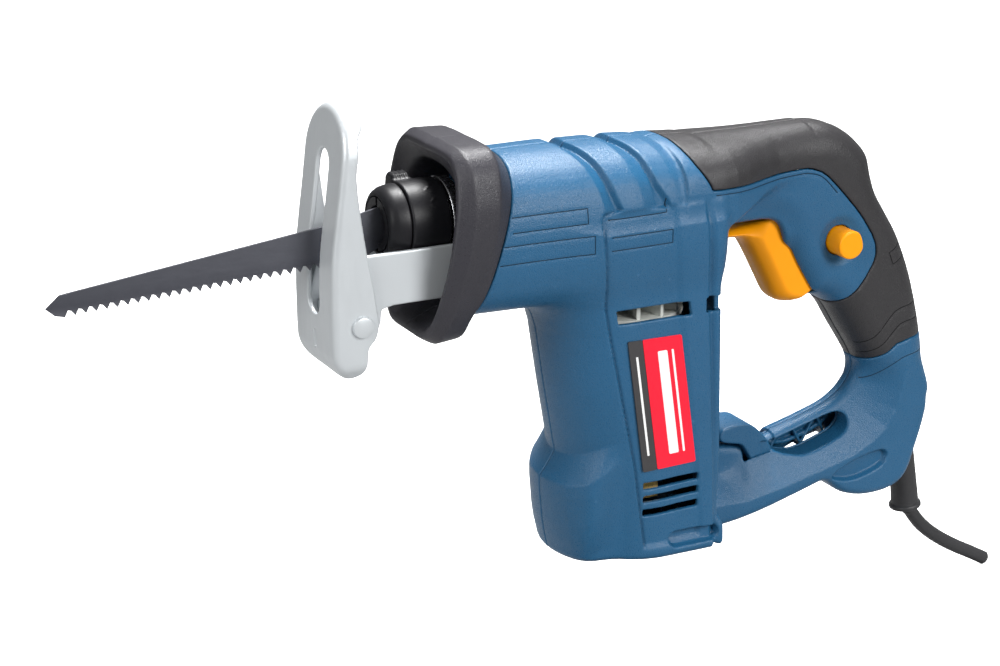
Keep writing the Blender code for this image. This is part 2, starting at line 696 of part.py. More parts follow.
gear = plate("crank_gear", gear_outline(GEAR_TEETH, GEAR_SHAFT_RADIUS + 0.1), 0,
             GEAR_TOP - GEAR_BOTTOM, "Z", "steel")
gear.location = Vector(on_gear(GEAR_BOTTOM)) * MM
cut(gear, rod("crank_pin_seat", on_crank(GEAR_BOTTOM - 3), on_crank(GEAR_TOP + 3),
              CRANK_PIN_RADIUS + 0.05, segments=20))
turned("gear_shaft", on_gear(126.3), Z_AXIS, [
    (0, 11.3), (GEAR_SHAFT_RADIUS, 11.3), (GEAR_SHAFT_RADIUS, 2.0), (GEAR_SHAFT_RADIUS, 0),
    (0, 0)], "steel", 24)
crank_pin = turned("crank_pin", on_crank(GEAR_BOTTOM + 0.3), Z_AXIS, [
    (0, 19.0), (CRANK_PIN_RADIUS, 19.0), (CRANK_PIN_RADIUS, 0), (0, 0)], "steel", 20)
crank_roller = ring("crank_roller", on_crank(GEAR_TOP + 1.2), on_crank(148.9),
                    CRANK_PIN_RADIUS + 0.06, 3.9, "steel", 24)
hang_on("crank_gear_axis", on_gear(0), gear, crank_pin, crank_roller)

# ---- gear case: floor with bearing boss, and two posts that carry the plunger bushes ----
gear_case = plate("gear_case", [slot_outline((0.6, 0), (-34.0, 0), 20.5, 9)], 126.2, 129.4,
                  "Z", "alu")
add(gear_case,
    rod("case_boss", on_motor(118.9), on_motor(128.0), 14.0, segments=28),
    box("front_post", (-61.6, -55.3), both(11.5), (127.6, 171.0)),
    box("rear_post", (7.5, 15.5), both(11.5), (127.0, 171.0)),
    box("floor_arm", (-61.5, -40), both(11.4), (127.6, 129.2)))
cut(gear_case,
    rod("bearing_bore", on_motor(117), on_motor(125.6), 11.0),
    rod("shaft_bore", on_motor(124), on_motor(133), 5.4),
    rod("gear_shaft_bore", on_gear(126.25), on_gear(133), GEAR_SHAFT_RADIUS + 0.06),
    rod("front_bush_bore", on_stroke(-66), on_stroke(-50), BUSH_RADIUS + 0.1),
    rod("rear_bush_bore", on_stroke(5), on_stroke(18), BUSH_RADIUS + 0.1))
for name, front, rear in (("front_bush", -62.4, -54.5), ("rear_bush", 6.5, 16.2)):
    ring(name, on_stroke(front), on_stroke(rear), PLUNGER_RADIUS + 0.06, BUSH_RADIUS, "brass", 24)

# ---- plunger, with the cross-slotted yoke that the crank roller drives ----
plunger = turned("plunger", on_stroke(-88.4), X_AXIS, [
    (0, 105.6), (PLUNGER_RADIUS, 105.6), (PLUNGER_RADIUS, 8.5), (4.35, 8.5), (4.35, 0),
    (0, 0)], "steel", 24)
yoke = box("plunger_yoke", (GEAR_X - 9.6, GEAR_X + 9.6), both(15.6), (139.6, 149.6), "steel",
           bevel=0.8)
add(yoke, box("yoke_neck", (GEAR_X - 9.0, GEAR_X + 9.0), both(9), (149.0, 169.0)))
cut(yoke,
    plate("yoke_slot", [slot_outline((GEAR_X, -8.0), (GEAR_X, 12.0), 6.2, 7)], 130, 149.7, "Z"),
    rod("yoke_bore", on_stroke(GEAR_X - 15), on_stroke(GEAR_X + 15), PLUNGER_RADIUS + 0.05),
    plate("yoke_pin_room", [slot_outline((GEAR_X, -6.0), (GEAR_X, 11.0), 5.2, 7)],
          149.2, 151.2, "Z"))

# ---- blade clamp ----
clamp_body = turned("blade_clamp_body", on_stroke(-116.5), X_AXIS, [
    (11.4, 36.2), (11.4, 0), (7.9, 0), (7.9, 24.6), (4.45, 27.6), (4.45, 36.2)], "steel")
cut(clamp_body, box("blade_way", (-118, -91), both(0.9), (STROKE_Z - 14, STROKE_Z + 14)))
clamp_ring = ring("clamp_ring", on_stroke(-88.9), on_stroke(-84.0), 11.5, 17.2, "silver", 32)
clamp_cap = turned("clamp_front_cap", on_stroke(-116.6), X_AXIS, [
    (16.2, 9.1), (15.2, 3.5), (12.4, 0), (11.6, 0), (11.6, 9.1)], "black", 32)
spring("clamp_spring", on_stroke(-97.5), on_stroke(-92.2), radius=6.9, turns=2.5,
       wire_radius=0.5, per_turn=9)

LEVER = [(5.0, 15.6), (13.5, 13.0), (12.8, 17.2), (10.5, 18.8), (7.0, 18.0)]    # y, z over axis
collar = ring("clamp_collar", on_stroke(-107.2), on_stroke(-89.3), 11.75, 17.0, "black", 32)
add(collar, plate("collar_lever", [[(y, STROKE_Z + up) for y, up in LEVER]],
                  -107.1, -98.5, "X"))
hang_on("clamp_collar_axis", on_stroke(-98), collar)

# ---- blade: tapered, square shank end in the clamp, coarse teeth below ----
# x, z
BLADE_BACK = [(-98.6, 168.2), (-116, 168.0), (-140, 163.0), (-253.0, 149.4)]
BLADE_TIP = [(-259.0, 144.4), (-255.5, 141.3)]
TEETH_START, TEETH_END = (-252.5, 141.0), (-122.0, 147.0)
BLADE_SHANK = [(-121.0, 148.4), (-114.0, 152.0), (-98.6, 152.0)]
BLADE_TEETH = 30


def blade_outline():
    points = BLADE_BACK + BLADE_TIP
    pitch = (TEETH_END[0] - TEETH_START[0]) / BLADE_TEETH
    for i in range(BLADE_TEETH):
        x = TEETH_START[0] + pitch * i
        z = TEETH_START[1] + (TEETH_END[1] - TEETH_START[1]) * i / BLADE_TEETH
        points += [(x + 0.25 * pitch, z - 0.7), (x + 0.55 * pitch, z + 1.9),
                   (x + 0.85 * pitch, z + 1.6)]
    return points + BLADE_SHANK


blade = plate("blade", [blade_outline()], -0.65, 0.65, "Y", "blade", tidy=False)
hang_on("plunger_rest", on_stroke(-90), plunger, yoke, clamp_body, clamp_ring, clamp_cap,
        bpy.data.objects["clamp_spring"], blade)

# ---- shoe bracket: a U-shaped strap with two ears, open to the front ----
STRAP_OUTER, STRAP_INNER = 18.2, 15.8      # half-widths
BOLT_Z = 138.6


def strap_line(half, side_x, web_x, web_half):
    """One face of the strap: along one side, across the web and back along the other."""
    points = [(-141.0, half), (side_x, half), (web_x, web_half)]
    return points + [(x, -y) for x, y in reversed(points)]


strap = (strap_line(STRAP_OUTER, -73.5, -70.6, 15.4)
         + strap_line(STRAP_INNER, -74.3, -73.0, 14.5)[::-1])
bracket = plate("shoe_bracket", [strap], 130.6, 153.2, "Z", "silver")
EAR = [(-125.0, 152.6), (-141.0, 152.6)] + arc(*SHOE_PIVOT, 9.2, 180, 345, 8)    # x, z
ear_inner, ear_outer = STRAP_INNER + 0.02, STRAP_OUTER - 0.02
add(bracket, plate("bracket_ear_l", [EAR], -ear_outer, -ear_inner),
    plate("bracket_ear_r", [EAR], ear_inner, ear_outer))
cut(bracket,
    cross_rod("shoe_pin_bore", SHOE_PIVOT, both(30), SHOE_PIN_BORE),
    plate("ear_trim", [[(-170, 100), (-140.6, 100), (-140.6, 131.0), (-134.4, 154.0),
                        (-134.4, 175), (-170, 175)]], -30, 30),
    rod("bolt_way", (-80, 0, BOLT_Z), (-58, 0, BOLT_Z), 2.6, segments=20),
    box("bracket_top", (-73.8, -60.0), both(30), (149.0, 160.0)))
# fixes the strap web to the gear case
turned("shoe_bolt", (-76.6, 0, BOLT_Z), X_AXIS, [
    (0, 13.6), (2.4, 13.6), (2.4, 3.3), (4.2, 3.3), (4.2, 0), (0, 0)], "silver", 20)

# ---- shoe ----
# x, z
SHOE_FRONT = [
    (-136.6, 219.5), (-138.2, 205.0), (-141.4, 180.0), (-143.4, 165.0), (-144.8, 153.0),
    (-145.4, 140.0), (-145.4, 113.0), (-144.4, 109.5), (-142.3, 105.6), (-139.0, 102.6)]
SHOE_REAR = [
    (-136.0, 102.2), (-132.2, 104.6), (-131.5, 108.6), (-130.7, 115.0), (-126.4, 118.4),
    (-125.2, 124.5), (-126.1, 130.0), (-127.5, 140.4), (-130.1, 154.4), (-133.7, 177.0),
    (-134.4, 188.7), (-132.5, 197.9), (-132.5, 205.6), (-129.5, 210.0), (-129.5, 219.5)]
SHOE_HOLLOW = [
    (-133.8, 225.0), (-136.0, 205.0), (-139.2, 180.0), (-141.2, 165.0), (-142.6, 153.0),
    (-143.2, 140.0), (-143.2, 113.0), (-142.3, 110.2), (-140.6, 107.2), (-138.2, 105.1),
    (-110, 105.1), (-110, 225.0)]


def shoe_view(name, half, corner, low):
    """The shoe's shape seen along X: round top, rounded lower corners."""
    outline = (arc(0, 193.6, half, 0, 180, 14)
               + arc(corner - half, low + corner, corner, 180, 270, 4)
               + arc(half - corner, low + corner, corner, 270, 360, 4))
    return plate(name, [outline], -200, -100, "X")


shoe_hollow = plate("shoe_hollow", [SHOE_HOLLOW], -18.5, 18.5)
boolean(shoe_hollow, "INTERSECT",
        shoe_view("shoe_inner_view", SHOE_HALF - SHOE_WALL, corner=6.5, low=104.6))
shoe = plate("shoe", [SHOE_FRONT + SHOE_REAR], -SHOE_HALF, SHOE_HALF, "Y", "silver")
boolean(shoe, "INTERSECT", shoe_view("shoe_front_view", SHOE_HALF, corner=8.0, low=102.2))
cut(shoe, shoe_hollow,
    plate("shoe_blade_slot", [slot_outline((0, 132.6), (0, 190.0), 6.2, 8)],
          -160, -134.2, "X"),
    cross_rod("shoe_flange_bore", SHOE_PIVOT, both(30), SHOE_PIN_RADIUS + 0.11))
set_origin(shoe, SHOE_PIVOT)

turned("shoe_pivot_pin", (SHOE_PIVOT[0], -23.1, SHOE_PIVOT[1]), Y_AXIS, [
    (0, 44.6), (SHOE_PIN_RADIUS, 44.6), (SHOE_PIN_RADIUS, 2.2), (4.6, 2.2), (4.6, 0.4),
    (4.2, 0), (0, 0)], "silver")
turned("shoe_pivot_cap", (SHOE_PIVOT[0], 12.4, SHOE_PIVOT[1]), Y_AXIS, [
    (4.7, 3.1), (4.7, 0.8), (3.9, 0), (SHOE_PIN_BORE, 0), (SHOE_PIN_BORE, 3.1)], "silver", 24)

# ---- trigger, switch and lock button ----
# along the slide, up the grip
TRIGGER = [
    (-16, -9), (-13.5, -14.5), (-9, -17.8), (-4.2, -18.4), (1, -17.5), (8, -17.5), (8, 21.6),
    (1, 22.6), (-8, 25.2), (-17, 28.3), (-24, 30.6), (-23, 28.5), (-19.9, 25.7),
    (-16.7, 21.5), (-16, 15)]
trigger = grip_plate("trigger", TRIGGER, 10.8, "yellow", bevel=1.6)
set_origin(trigger, TRIGGER_MOUTH)
grip_plate("switch_body", [(17.2, -14), (38.4, -14), (38.4, 17.4), (17.2, 17.4)], 7.9, "black")
spring("trigger_spring", on_seam(grip_point(8.7, 0)), on_seam(grip_point(16.5, 0)),
       radius=4.0, turns=4, wire_radius=0.5)
turned("lock_button", (BUTTON[0], -26.4, BUTTON[1]), Y_AXIS, [
    (0, 15.1), (8.2, 15.1), (8.2, 13.5), (BUTTON_RADIUS, 13.5), (BUTTON_RADIUS, 0.9),
    (BUTTON_RADIUS - 0.9, 0), (0, 0)], "yellow")
spring("lock_button_spring", (BUTTON[0], -10.7, BUTTON[1]), (BUTTON[0], -8.6, BUTTON[1]),
       radius=4.2, turns=2, wire_radius=0.35)

# ---- hanging hook in the strut ----
# x, z
HOOK_OUTLINE = ([(46.2, 44.4), (50.5, 42.6), (56.0, 41.8), (66.8, 41.6), (75.2, 32.4)]
                + arc(*HOOK, 5.6, 0, -150, 6)
                + [(63.6, 31.0), (59.5, 34.9), (48.0, 38.6), (46.2, 40.5)])
hook = plate("hang_hook", [HOOK_OUTLINE], -9.9, 9.9, "Y", "blue", bevel=0.9)
cut(hook, cross_rod("hook_bore", HOOK, both(15), HOOK_PIN_RADIUS + 0.06, segments=16))
set_origin(hook, HOOK)
cross_rod("hang_hook_pin", HOOK, both(14.0), HOOK_PIN_RADIUS, look="steel", segments=16)

# ---- cord, strain relief and cord clamp ----
relief_length = RELIEF_RUN.length
turned("strain_relief", on_seam(RELIEF_TOP), on_seam(RELIEF_RUN), [
    (7.3, relief_length), (7.3, relief_length - 1.8), (6.5, relief_length - 2.8), (5.4, 0),
    (4.25, 0), (4.25, relief_length)], "rubber")
# x, z: down the grip, straight through the relief, then curving away to the rear
CORD = ([grip_point(28, -15.0)] + CORD_PATH[1:]
        + [RELIEF_END, tuple(Vector(RELIEF_END) + RELIEF_RUN.normalized() * 3.0)]
        + [(159.6, -22.0), (162.8, -26.6), (167.4, -30.6), (173.4, -34.4), (181.0, -38.9),
           (192.0, -45.6), (207.6, -55.2)])
wire("power_cord", [on_seam(place) for place in CORD], CORD_RADIUS, "rubber", resolution=2)
cord_clamp = box("cord_clamp", (139.2, 152.8), both(9.0), (48.2, 52.8), "black", bevel=0.6)
# follows the cord's run through the clamp, a little past its next bend
cut(cord_clamp, rod("cord_clamp_bore", on_seam(CORD_PATH[3]), (147.5, 0, 44.0),
                    CORD_RADIUS + 0.25, segments=20))

# ---- screws and label ----
SCREW_Y = -12.0
head = SCREW_SEAT_Y + 0.2 - SCREW_Y        # underside of the head, from the screw's tip
for i, place in enumerate(SCREWS, 1):
    turned("housing_screw_%d" % i, (place[0], SCREW_Y, place[1]), Y_AXIS, [
        (0, head + 2.6), (3.7, head + 2.6), (3.7, head), (2.0, head), (2.0, 0), (0, 0)],
        "steel", 12)
LABEL = [(-13.9, 102.6), (12.4, 102.6), (20.2, 42.4), (-5.8, 42.4)]    # x, z
plate("label_plate", [LABEL], -33.9, -33.55, "Y", "red")
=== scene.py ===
"""A corded reciprocating saw, dressed over its CAD pieces.

Shapes are worked out in millimetres and scaled to metres when a mesh is made. The blade end
points to -x and the D-shaped handle lies at +x. y = 0 is the middle plane, the left half is
at -y and the right half at +y, and z points up.
"""

import json
import math

import bmesh
import bpy
import numpy as np
from mathutils import Matrix, Vector
from mathutils.bvhtree import BVHTree


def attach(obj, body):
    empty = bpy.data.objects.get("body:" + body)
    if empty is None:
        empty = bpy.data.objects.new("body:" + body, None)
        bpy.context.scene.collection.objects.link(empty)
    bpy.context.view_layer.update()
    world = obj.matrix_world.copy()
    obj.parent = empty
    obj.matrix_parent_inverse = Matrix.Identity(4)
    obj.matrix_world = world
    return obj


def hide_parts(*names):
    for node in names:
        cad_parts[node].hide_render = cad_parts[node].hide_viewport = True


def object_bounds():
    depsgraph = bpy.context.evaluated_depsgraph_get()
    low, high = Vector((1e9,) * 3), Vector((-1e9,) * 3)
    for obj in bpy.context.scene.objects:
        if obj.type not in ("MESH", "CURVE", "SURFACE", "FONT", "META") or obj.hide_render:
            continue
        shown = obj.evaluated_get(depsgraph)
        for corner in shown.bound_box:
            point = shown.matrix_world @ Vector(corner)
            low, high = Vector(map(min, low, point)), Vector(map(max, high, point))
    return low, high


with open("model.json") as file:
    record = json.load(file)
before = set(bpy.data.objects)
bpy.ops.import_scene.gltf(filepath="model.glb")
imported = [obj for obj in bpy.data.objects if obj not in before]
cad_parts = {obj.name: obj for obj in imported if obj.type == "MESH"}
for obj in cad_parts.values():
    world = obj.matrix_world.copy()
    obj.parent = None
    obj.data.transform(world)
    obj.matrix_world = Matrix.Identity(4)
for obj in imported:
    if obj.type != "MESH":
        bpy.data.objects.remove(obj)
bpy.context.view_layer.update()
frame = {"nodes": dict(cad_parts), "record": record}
MM = 0.001

# Places shared by several pieces (x, z)
TRIGGER_ORIGIN, TRIGGER_AXIS = (82.5, 120.0), (0.888, 0.460)
LOCK_BUTTON = (103.3, 128.8)
HOOK_PIVOT = (69.5, 27.2)
SHOE_PIVOT = (-133.0, 124.4)
GRIP_SCREW = (146.5, 90.0)
SLEEVE_TOP, SLEEVE_END = (151.6, 33.0), (157.7, -15.5)
PLUNGER_Z = 160.8
# The slanted seam between housing and nose guard, top and bottom
SEAM_TOP, SEAM_LOW = (-64.0, 187.0), (-84.0, 125.0)
SEAM_SLOPE = (SEAM_TOP[0] - SEAM_LOW[0]) / (SEAM_TOP[1] - SEAM_LOW[1])


# ---------------------------------------------------------------- outlines and distances
# A plane is a pair of coordinate arrays. Distances are negative inside a shape.
def round_corners(points, times=2, cut=0.22):
    """Corner cutting on a closed outline."""
    loop = np.array(points, float)
    for _ in range(times):
        following = np.roll(loop, -1, axis=0)
        loop = np.stack([(1 - cut) * loop + cut * following,
                         cut * loop + (1 - cut) * following], 1).reshape(-1, loop.shape[1])
    return loop


def arc(centre, radius, start, end, steps):
    """Points on an arc; the angles are in degrees."""
    angles = [math.radians(start + (end - start) * i / steps) for i in range(steps + 1)]
    return [(centre[0] + radius * math.cos(t), centre[1] + radius * math.sin(t)) for t in angles]


def stadium(first, last, radius, steps=8):
    turn = math.degrees(math.atan2(last[1] - first[1], last[0] - first[0]))
    return (arc(last, radius, turn - 90, turn + 90, steps)
            + arc(first, radius, turn + 90, turn + 270, steps))


def spline(points, steps):
    """Catmull-Rom points through an open run."""
    knots = np.array(points, float)
    knots = np.vstack([2 * knots[0] - knots[1], knots, 2 * knots[-1] - knots[-2]])
    out = []
    for i in range(1, len(knots) - 2):
        a, b, c, d = knots[i - 1:i + 3]
        for k in range(steps):
            t = k / steps
            out.append(0.5 * ((2 * b) + (c - a) * t + (2 * a - 5 * b + 4 * c - d) * t * t
                              + (3 * b - a - 3 * c + d) * t ** 3))
    out.append(knots[-2])
    return np.array(out)


def plane_of(first, second):
    return np.meshgrid(first, second, indexing="ij")


def segment_distance_sq(x0, y0, x1, y1, plane):
    run, rise = x1 - x0, y1 - y0
    from_x, from_y = plane[0] - x0, plane[1] - y0
    along = np.clip((from_x * run + from_y * rise) / (run * run + rise * rise), 0, 1)
    return (from_x - run * along) ** 2 + (from_y - rise * along) ** 2


def outline_distance(points, plane):
    """Signed distance to a closed outline."""
    across, up = plane
    corners = np.array(points, float)
    nearest = np.full(across.shape, 1e12)
    inside = np.zeros(across.shape, bool)
    for (x0, y0), (x1, y1) in zip(corners, np.roll(corners, -1, axis=0)):
        if (x1 - x0) * (x1 - x0) + (y1 - y0) * (y1 - y0) < 1e-12:
            continue
        nearest = np.minimum(nearest, segment_distance_sq(x0, y0, x1, y1, plane))
        if y1 != y0:
            inside ^= ((y0 > up) != (y1 > up)) & (across < (x1 - x0) * (up - y0) / (y1 - y0) + x0)
    distance = np.sqrt(nearest)
    return np.where(inside, -distance, distance)


def line_distance(points, plane):
    """Distance to an open polyline."""
    nearest = np.full(plane[0].shape, 1e12)
    for (x0, y0), (x1, y1) in zip(points, points[1:]):
        nearest = np.minimum(nearest, segment_distance_sq(x0, y0, x1, y1, plane))
    return np.sqrt(nearest)


def point_distance(centre, plane):
    return np.sqrt((plane[0] - centre[0]) ** 2 + (plane[1] - centre[1]) ** 2)


def box_distance(x0, x1, z0, z1, plane):
    return np.maximum(np.abs(plane[0] - (x0 + x1) / 2) - (x1 - x0) / 2,
                      np.abs(plane[1] - (z0 + z1) / 2) - (z1 - z0) / 2)


def rounded_max(first, second, radius):
    """Intersection with a rounded edge."""
    over_first, over_second = np.maximum(first + radius, 0), np.maximum(second + radius, 0)
    return (np.minimum(np.maximum(first, second), -radius)
            + np.sqrt(over_first * over_first + over_second * over_second))


def smooth_min(first, second, blend):
    """Union with a fillet."""
    mix = np.clip(0.5 + 0.5 * (second - first) / blend, 0, 1)
    return second * (1 - mix) + first * mix - blend * mix * (1 - mix)


def smooth_step(start, end, value):
    t = np.clip((value - start) / (end - start), 0, 1)
    return t * t * (3 - 2 * t)


def through_y(plan):
    """Carry an xz shape across the whole width."""
    return plan[:, None, :].astype(np.float32)


def trigger_point(along, across):
    """From the trigger's own tilted frame to (x, z)."""
    return (TRIGGER_ORIGIN[0] + TRIGGER_AXIS[0] * along - TRIGGER_AXIS[1] * across,
            TRIGGER_ORIGIN[1] + TRIGGER_AXIS[1] * along + TRIGGER_AXIS[0] * across)


# ---------------------------------------------------------------- field to mesh
CORNERS = [(i, j, k) for i in (0, 1) for j in (0, 1) for k in (0, 1)]


def link_object(name, mesh):
    obj = bpy.data.objects.new(name, mesh)
    bpy.context.scene.collection.objects.link(obj)
    return obj


def relaxed(points, quads):
    """Move each vertex halfway to the mean of its neighbours."""
    total = np.zeros_like(points)
    count = np.zeros(len(points))
    size = len(points)
    for a, b in ((0, 1), (1, 2), (2, 3), (3, 0)):
        first, second = quads[:, a], quads[:, b]
        for axis in range(3):
            total[:, axis] += (np.bincount(first, points[second, axis], size)
                               + np.bincount(second, points[first, axis], size))
        count += np.bincount(first, minlength=size) + np.bincount(second, minlength=size)
    return 0.5 * points + 0.5 * total / np.maximum(count, 1)[:, None]


class Grid:
    """A box of sample points. A field given on them is meshed where it crosses zero."""

    def __init__(self, low, high, coarse, fine):
        self.pitch = fine
        self.low = np.array(low, float)
        self.shape = tuple(int(math.ceil((b - a) / self.pitch)) + 1 for a, b in zip(low, high))
        self.xs, self.ys, self.zs = [
            (self.low[i] + self.pitch * np.arange(self.shape[i])).astype(np.float32)
            for i in range(3)]
        self.x, self.y, self.z = (
            self.xs[:, None, None], self.ys[None, :, None], self.zs[None, None, :])

    def cell_points(self, field, cells):
        """One vertex per crossed cell: the mean of the crossings on its edges."""
        total = np.zeros((len(cells[0]), 3))
        count = np.zeros(len(cells[0]))
        values = {c: field[cells[0] + c[0], cells[1] + c[1], cells[2] + c[2]].astype(float)
                  for c in CORNERS}
        for start in CORNERS:
            for axis in range(3):
                if start[axis]:
                    continue
                end = list(start)
                end[axis] = 1
                here, there = values[start], values[tuple(end)]
                crossed = (here < 0) != (there < 0)
                t = here[crossed] / (here[crossed] - there[crossed])
                for d in range(3):
                    total[crossed, d] += start[d] + (t if d == axis else 0)
                count[crossed] += 1
        return self.low + self.pitch * (np.stack(cells, 1) + total / count[:, None])

    def cell_quads(self, inside, index):
        """One quad round each grid edge that passes through the surface."""
        quads = []
        for axis in range(3):
            lower, upper = [slice(None)] * 3, [slice(None)] * 3
            lower[axis], upper[axis] = slice(0, -1), slice(1, None)
            here, there = inside[tuple(lower)], inside[tuple(upper)]
            u, v = (axis + 1) % 3, (axis + 2) % 3
            for flip in (False, True):
                edges = np.argwhere(~here & there if flip else here & ~there)
                kept = ((edges[:, u] > 0) & (edges[:, v] > 0)
                        & (edges[:, u] < self.shape[u] - 1) & (edges[:, v] < self.shape[v] - 1))
                edges = edges[kept]
                ring = []
                for back_u, back_v in ((1, 1), (0, 1), (0, 0), (1, 0)):
                    cell = edges.copy()
                    cell[:, u] -= back_u
                    cell[:, v] -= back_v
                    ring.append(index[cell[:, 0], cell[:, 1], cell[:, 2]])
                quad = np.stack(ring, 1)
                quads.append(quad[:, ::-1] if flip else quad)
        return np.concatenate(quads)

    def mesh(self, field, name, mirror=False):
        field = np.array(np.broadcast_to(field, self.shape), np.float32, order="C")
        # the outermost samples count as outside, so that every surface closes
        for axis in range(3):
            for end in (0, -1):
                border = [slice(None)] * 3
                border[axis] = end
                border = tuple(border)
                field[border] = np.maximum(field[border], 0.4 * self.pitch)
        inside = field < 0
        nx, ny, nz = (n - 1 for n in self.shape)
        any_inside = np.zeros((nx, ny, nz), bool)
        all_inside = np.ones_like(any_inside)
        for i, j, k in CORNERS:
            corner = inside[i:nx + i, j:ny + j, k:nz + k]
            any_inside |= corner
            all_inside &= corner
        cells = np.nonzero(any_inside & ~all_inside)
        index = np.full(any_inside.shape, -1, np.int32)
        index[cells] = np.arange(len(cells[0]), dtype=np.int32)
        quads = self.cell_quads(inside, index)
        points = relaxed(self.cell_points(field, cells), quads)
        if mirror:
            points = points * np.array([1, -1, 1])
            quads = quads[:, ::-1]
        mesh = bpy.data.meshes.new(name)
        mesh.vertices.add(len(points))
        mesh.vertices.foreach_set("co", (points * MM).astype(np.float32).ravel())
        mesh.loops.add(quads.size)
        mesh.loops.foreach_set("vertex_index", quads.astype(np.int32).ravel())
        mesh.polygons.add(len(quads))
        mesh.polygons.foreach_set("loop_start", np.arange(0, quads.size, 4, dtype=np.int32))
        mesh.update(calc_edges=True)
        mesh.shade_smooth()
        return link_object(name, mesh)


# ---------------------------------------------------------------- rings to mesh
def add_skin(bm, rings, closed=False):
    """Faces through rings of equal point count, capped at both ends unless closed."""
    rows = [[bm.verts.new(Vector(p) * MM) for p in ring] for ring in rings]
    count = len(rows[0])
    pairs = list(zip(rows, rows[1:])) + ([(rows[-1], rows[0])] if closed else [])
    for a, b in pairs:
        for i in range(count):
            j = (i + 1) % count
            bm.faces.new((a[i], a[j], b[j], b[i]))
    if not closed:
        bm.faces.new(rows[0][::-1])
        bm.faces.new(rows[-1])


def smooth_object(name, bm, sharp=None):
    """Turn a bmesh into a smooth object; edges past `sharp` degrees stay crisp."""
    bmesh.ops.recalc_face_normals(bm, faces=bm.faces)
    mesh = bpy.data.meshes.new(name)
    bm.to_mesh(mesh)
    bm.free()
    mesh.shade_smooth()
    if sharp is not None:
        mesh.set_sharp_from_angle(angle=math.radians(sharp))
    return link_object(name, mesh)


def tube(name, rings, sharp, closed=False):
    bm = bmesh.new()
    add_skin(bm, rings, closed)
    bmesh.ops.remove_doubles(bm, verts=bm.verts, dist=2e-6)
    slivers = [f for f in bm.faces if f.calc_area() < 1e-13]
    bmesh.ops.delete(bm, geom=slivers, context="FACES_ONLY")
    bmesh.ops.delete(bm, geom=[e for e in bm.edges if not e.link_faces], context="EDGES")
    return smooth_object(name, bm, sharp)


def lathe(name, start, end, profile, segments, rounding=None):
    """A turned piece; profile is a closed loop of (distance from start, radius)."""
    start, end = Vector(start), Vector(end)
    turn = (end - start).to_track_quat("Z", "Y").to_matrix()
    loop = round_corners(profile, 1, rounding) if rounding else profile
    rings = []
    for i in range(segments):
        t = 2 * math.pi * i / segments
        rings.append([start + turn @ Vector((r * math.cos(t), r * math.sin(t), h))
                      for h, r in loop])
    return tube(name, rings, sharp=38, closed=True)


# ---------------------------------------------------------------- materials
def node(tree, kind, **values):
    """Add a node. Each value goes to the input of that name, or else to the property."""
    new = tree.nodes.new(kind)
    for key, value in values.items():
        if key in new.inputs:
            new.inputs[key].default_value = value
        else:
            setattr(new, key, value)
    return new


def map_range(tree, socket, source, target):
    """Remap a value from one (low, high) range to another."""
    ramp = tree.nodes.new("ShaderNodeMapRange")
    for key, value in zip(("From Min", "From Max", "To Min", "To Max"), source + target):
        ramp.inputs[key].default_value = value
    tree.links.new(socket, ramp.inputs["Value"])
    return ramp.outputs[0]


def scale_colour(tree, factor, source=None, colour=None):
    """Multiply a linked or a fixed colour by a linked factor."""
    scaled = node(tree, "ShaderNodeVectorMath", operation="SCALE")
    if source:
        tree.links.new(source, scaled.inputs[0])
    else:
        scaled.inputs[0].default_value = colour
    tree.links.new(factor, scaled.inputs["Scale"])
    return scaled.outputs[0]


def surface(name, colour, rough, grain, bump, spread, edge, *, metal=0.0, spec=0.5,
            speckle=0.0, stretch=(1, 1, 1)):
    """Fine grain in bump and roughness, slow colour drift, lighter edges (rubbed wear and painted
    highlight), painted shade in hollows.
    """
    mat = bpy.data.materials.new(name)
    mat.use_nodes = True
    tree = mat.node_tree
    principled = tree.nodes["Principled BSDF"]
    link = tree.links.new

    coords = tree.nodes.new("ShaderNodeTexCoord")
    mapping = node(tree, "ShaderNodeMapping", Scale=stretch)
    link(coords.outputs["Object"], mapping.inputs["Vector"])
    fine = node(tree, "ShaderNodeTexNoise", Scale=grain, Detail=3.0, Roughness=0.6)
    slow = node(tree, "ShaderNodeTexNoise", Scale=22.0, Detail=4.0, Roughness=0.55)
    for noise in (fine, slow):
        link(mapping.outputs[0], noise.inputs["Vector"])
    drift = map_range(tree, slow.outputs["Fac"], (0.3, 0.7), (1 - spread, 1 + spread))
    tint = scale_colour(tree, drift, colour=colour)

    # lighter convex edges, part rubbed wear and part painted highlight, and painted shade darkening
    # the hollows, from the mesh's own curvature
    curvature = tree.nodes.new("ShaderNodeNewGeometry").outputs["Pointiness"]
    edge_wear_and_highlight = node(tree, "ShaderNodeMix", data_type="RGBA")
    edge_wear_and_highlight_factor, edge_mix_base, edge_wear_and_highlight_colour = (edge_wear_and_highlight.inputs[i] for i in (0, 6, 7))
    edge_wear_and_highlight_colour.default_value = (*[min(1, c * 1.6 + 0.06) for c in colour], 1)
    link(map_range(tree, curvature, (0.52, 0.62), (0.0, edge)), edge_wear_and_highlight_factor)
    link(tint, edge_mix_base)
    # painted shade: the base colour is darkened in concave hollows
    hollow = map_range(tree, curvature, (0.36, 0.485), (0.25, 1.0))
    link(scale_colour(tree, hollow, source=edge_wear_and_highlight.outputs[2]), principled.inputs["Base Color"])

    rough_range = (max(0.05, rough - 0.10 - speckle), rough + 0.10)
    link(map_range(tree, fine.outputs["Fac"], (0.25, 0.75), rough_range),
         principled.inputs["Roughness"])
    relief_node = node(tree, "ShaderNodeBump", Strength=bump, Distance=0.0003)
    link(fine.outputs["Fac"], relief_node.inputs["Height"])
    link(relief_node.outputs[0], principled.inputs["Normal"])
    principled.inputs["Metallic"].default_value = metal
    principled.inputs["Specular IOR Level"].default_value = spec
    principled.inputs["Coat Roughness"].default_value = 0.25
    mat.diffuse_color = (*colour, 1)
    return mat
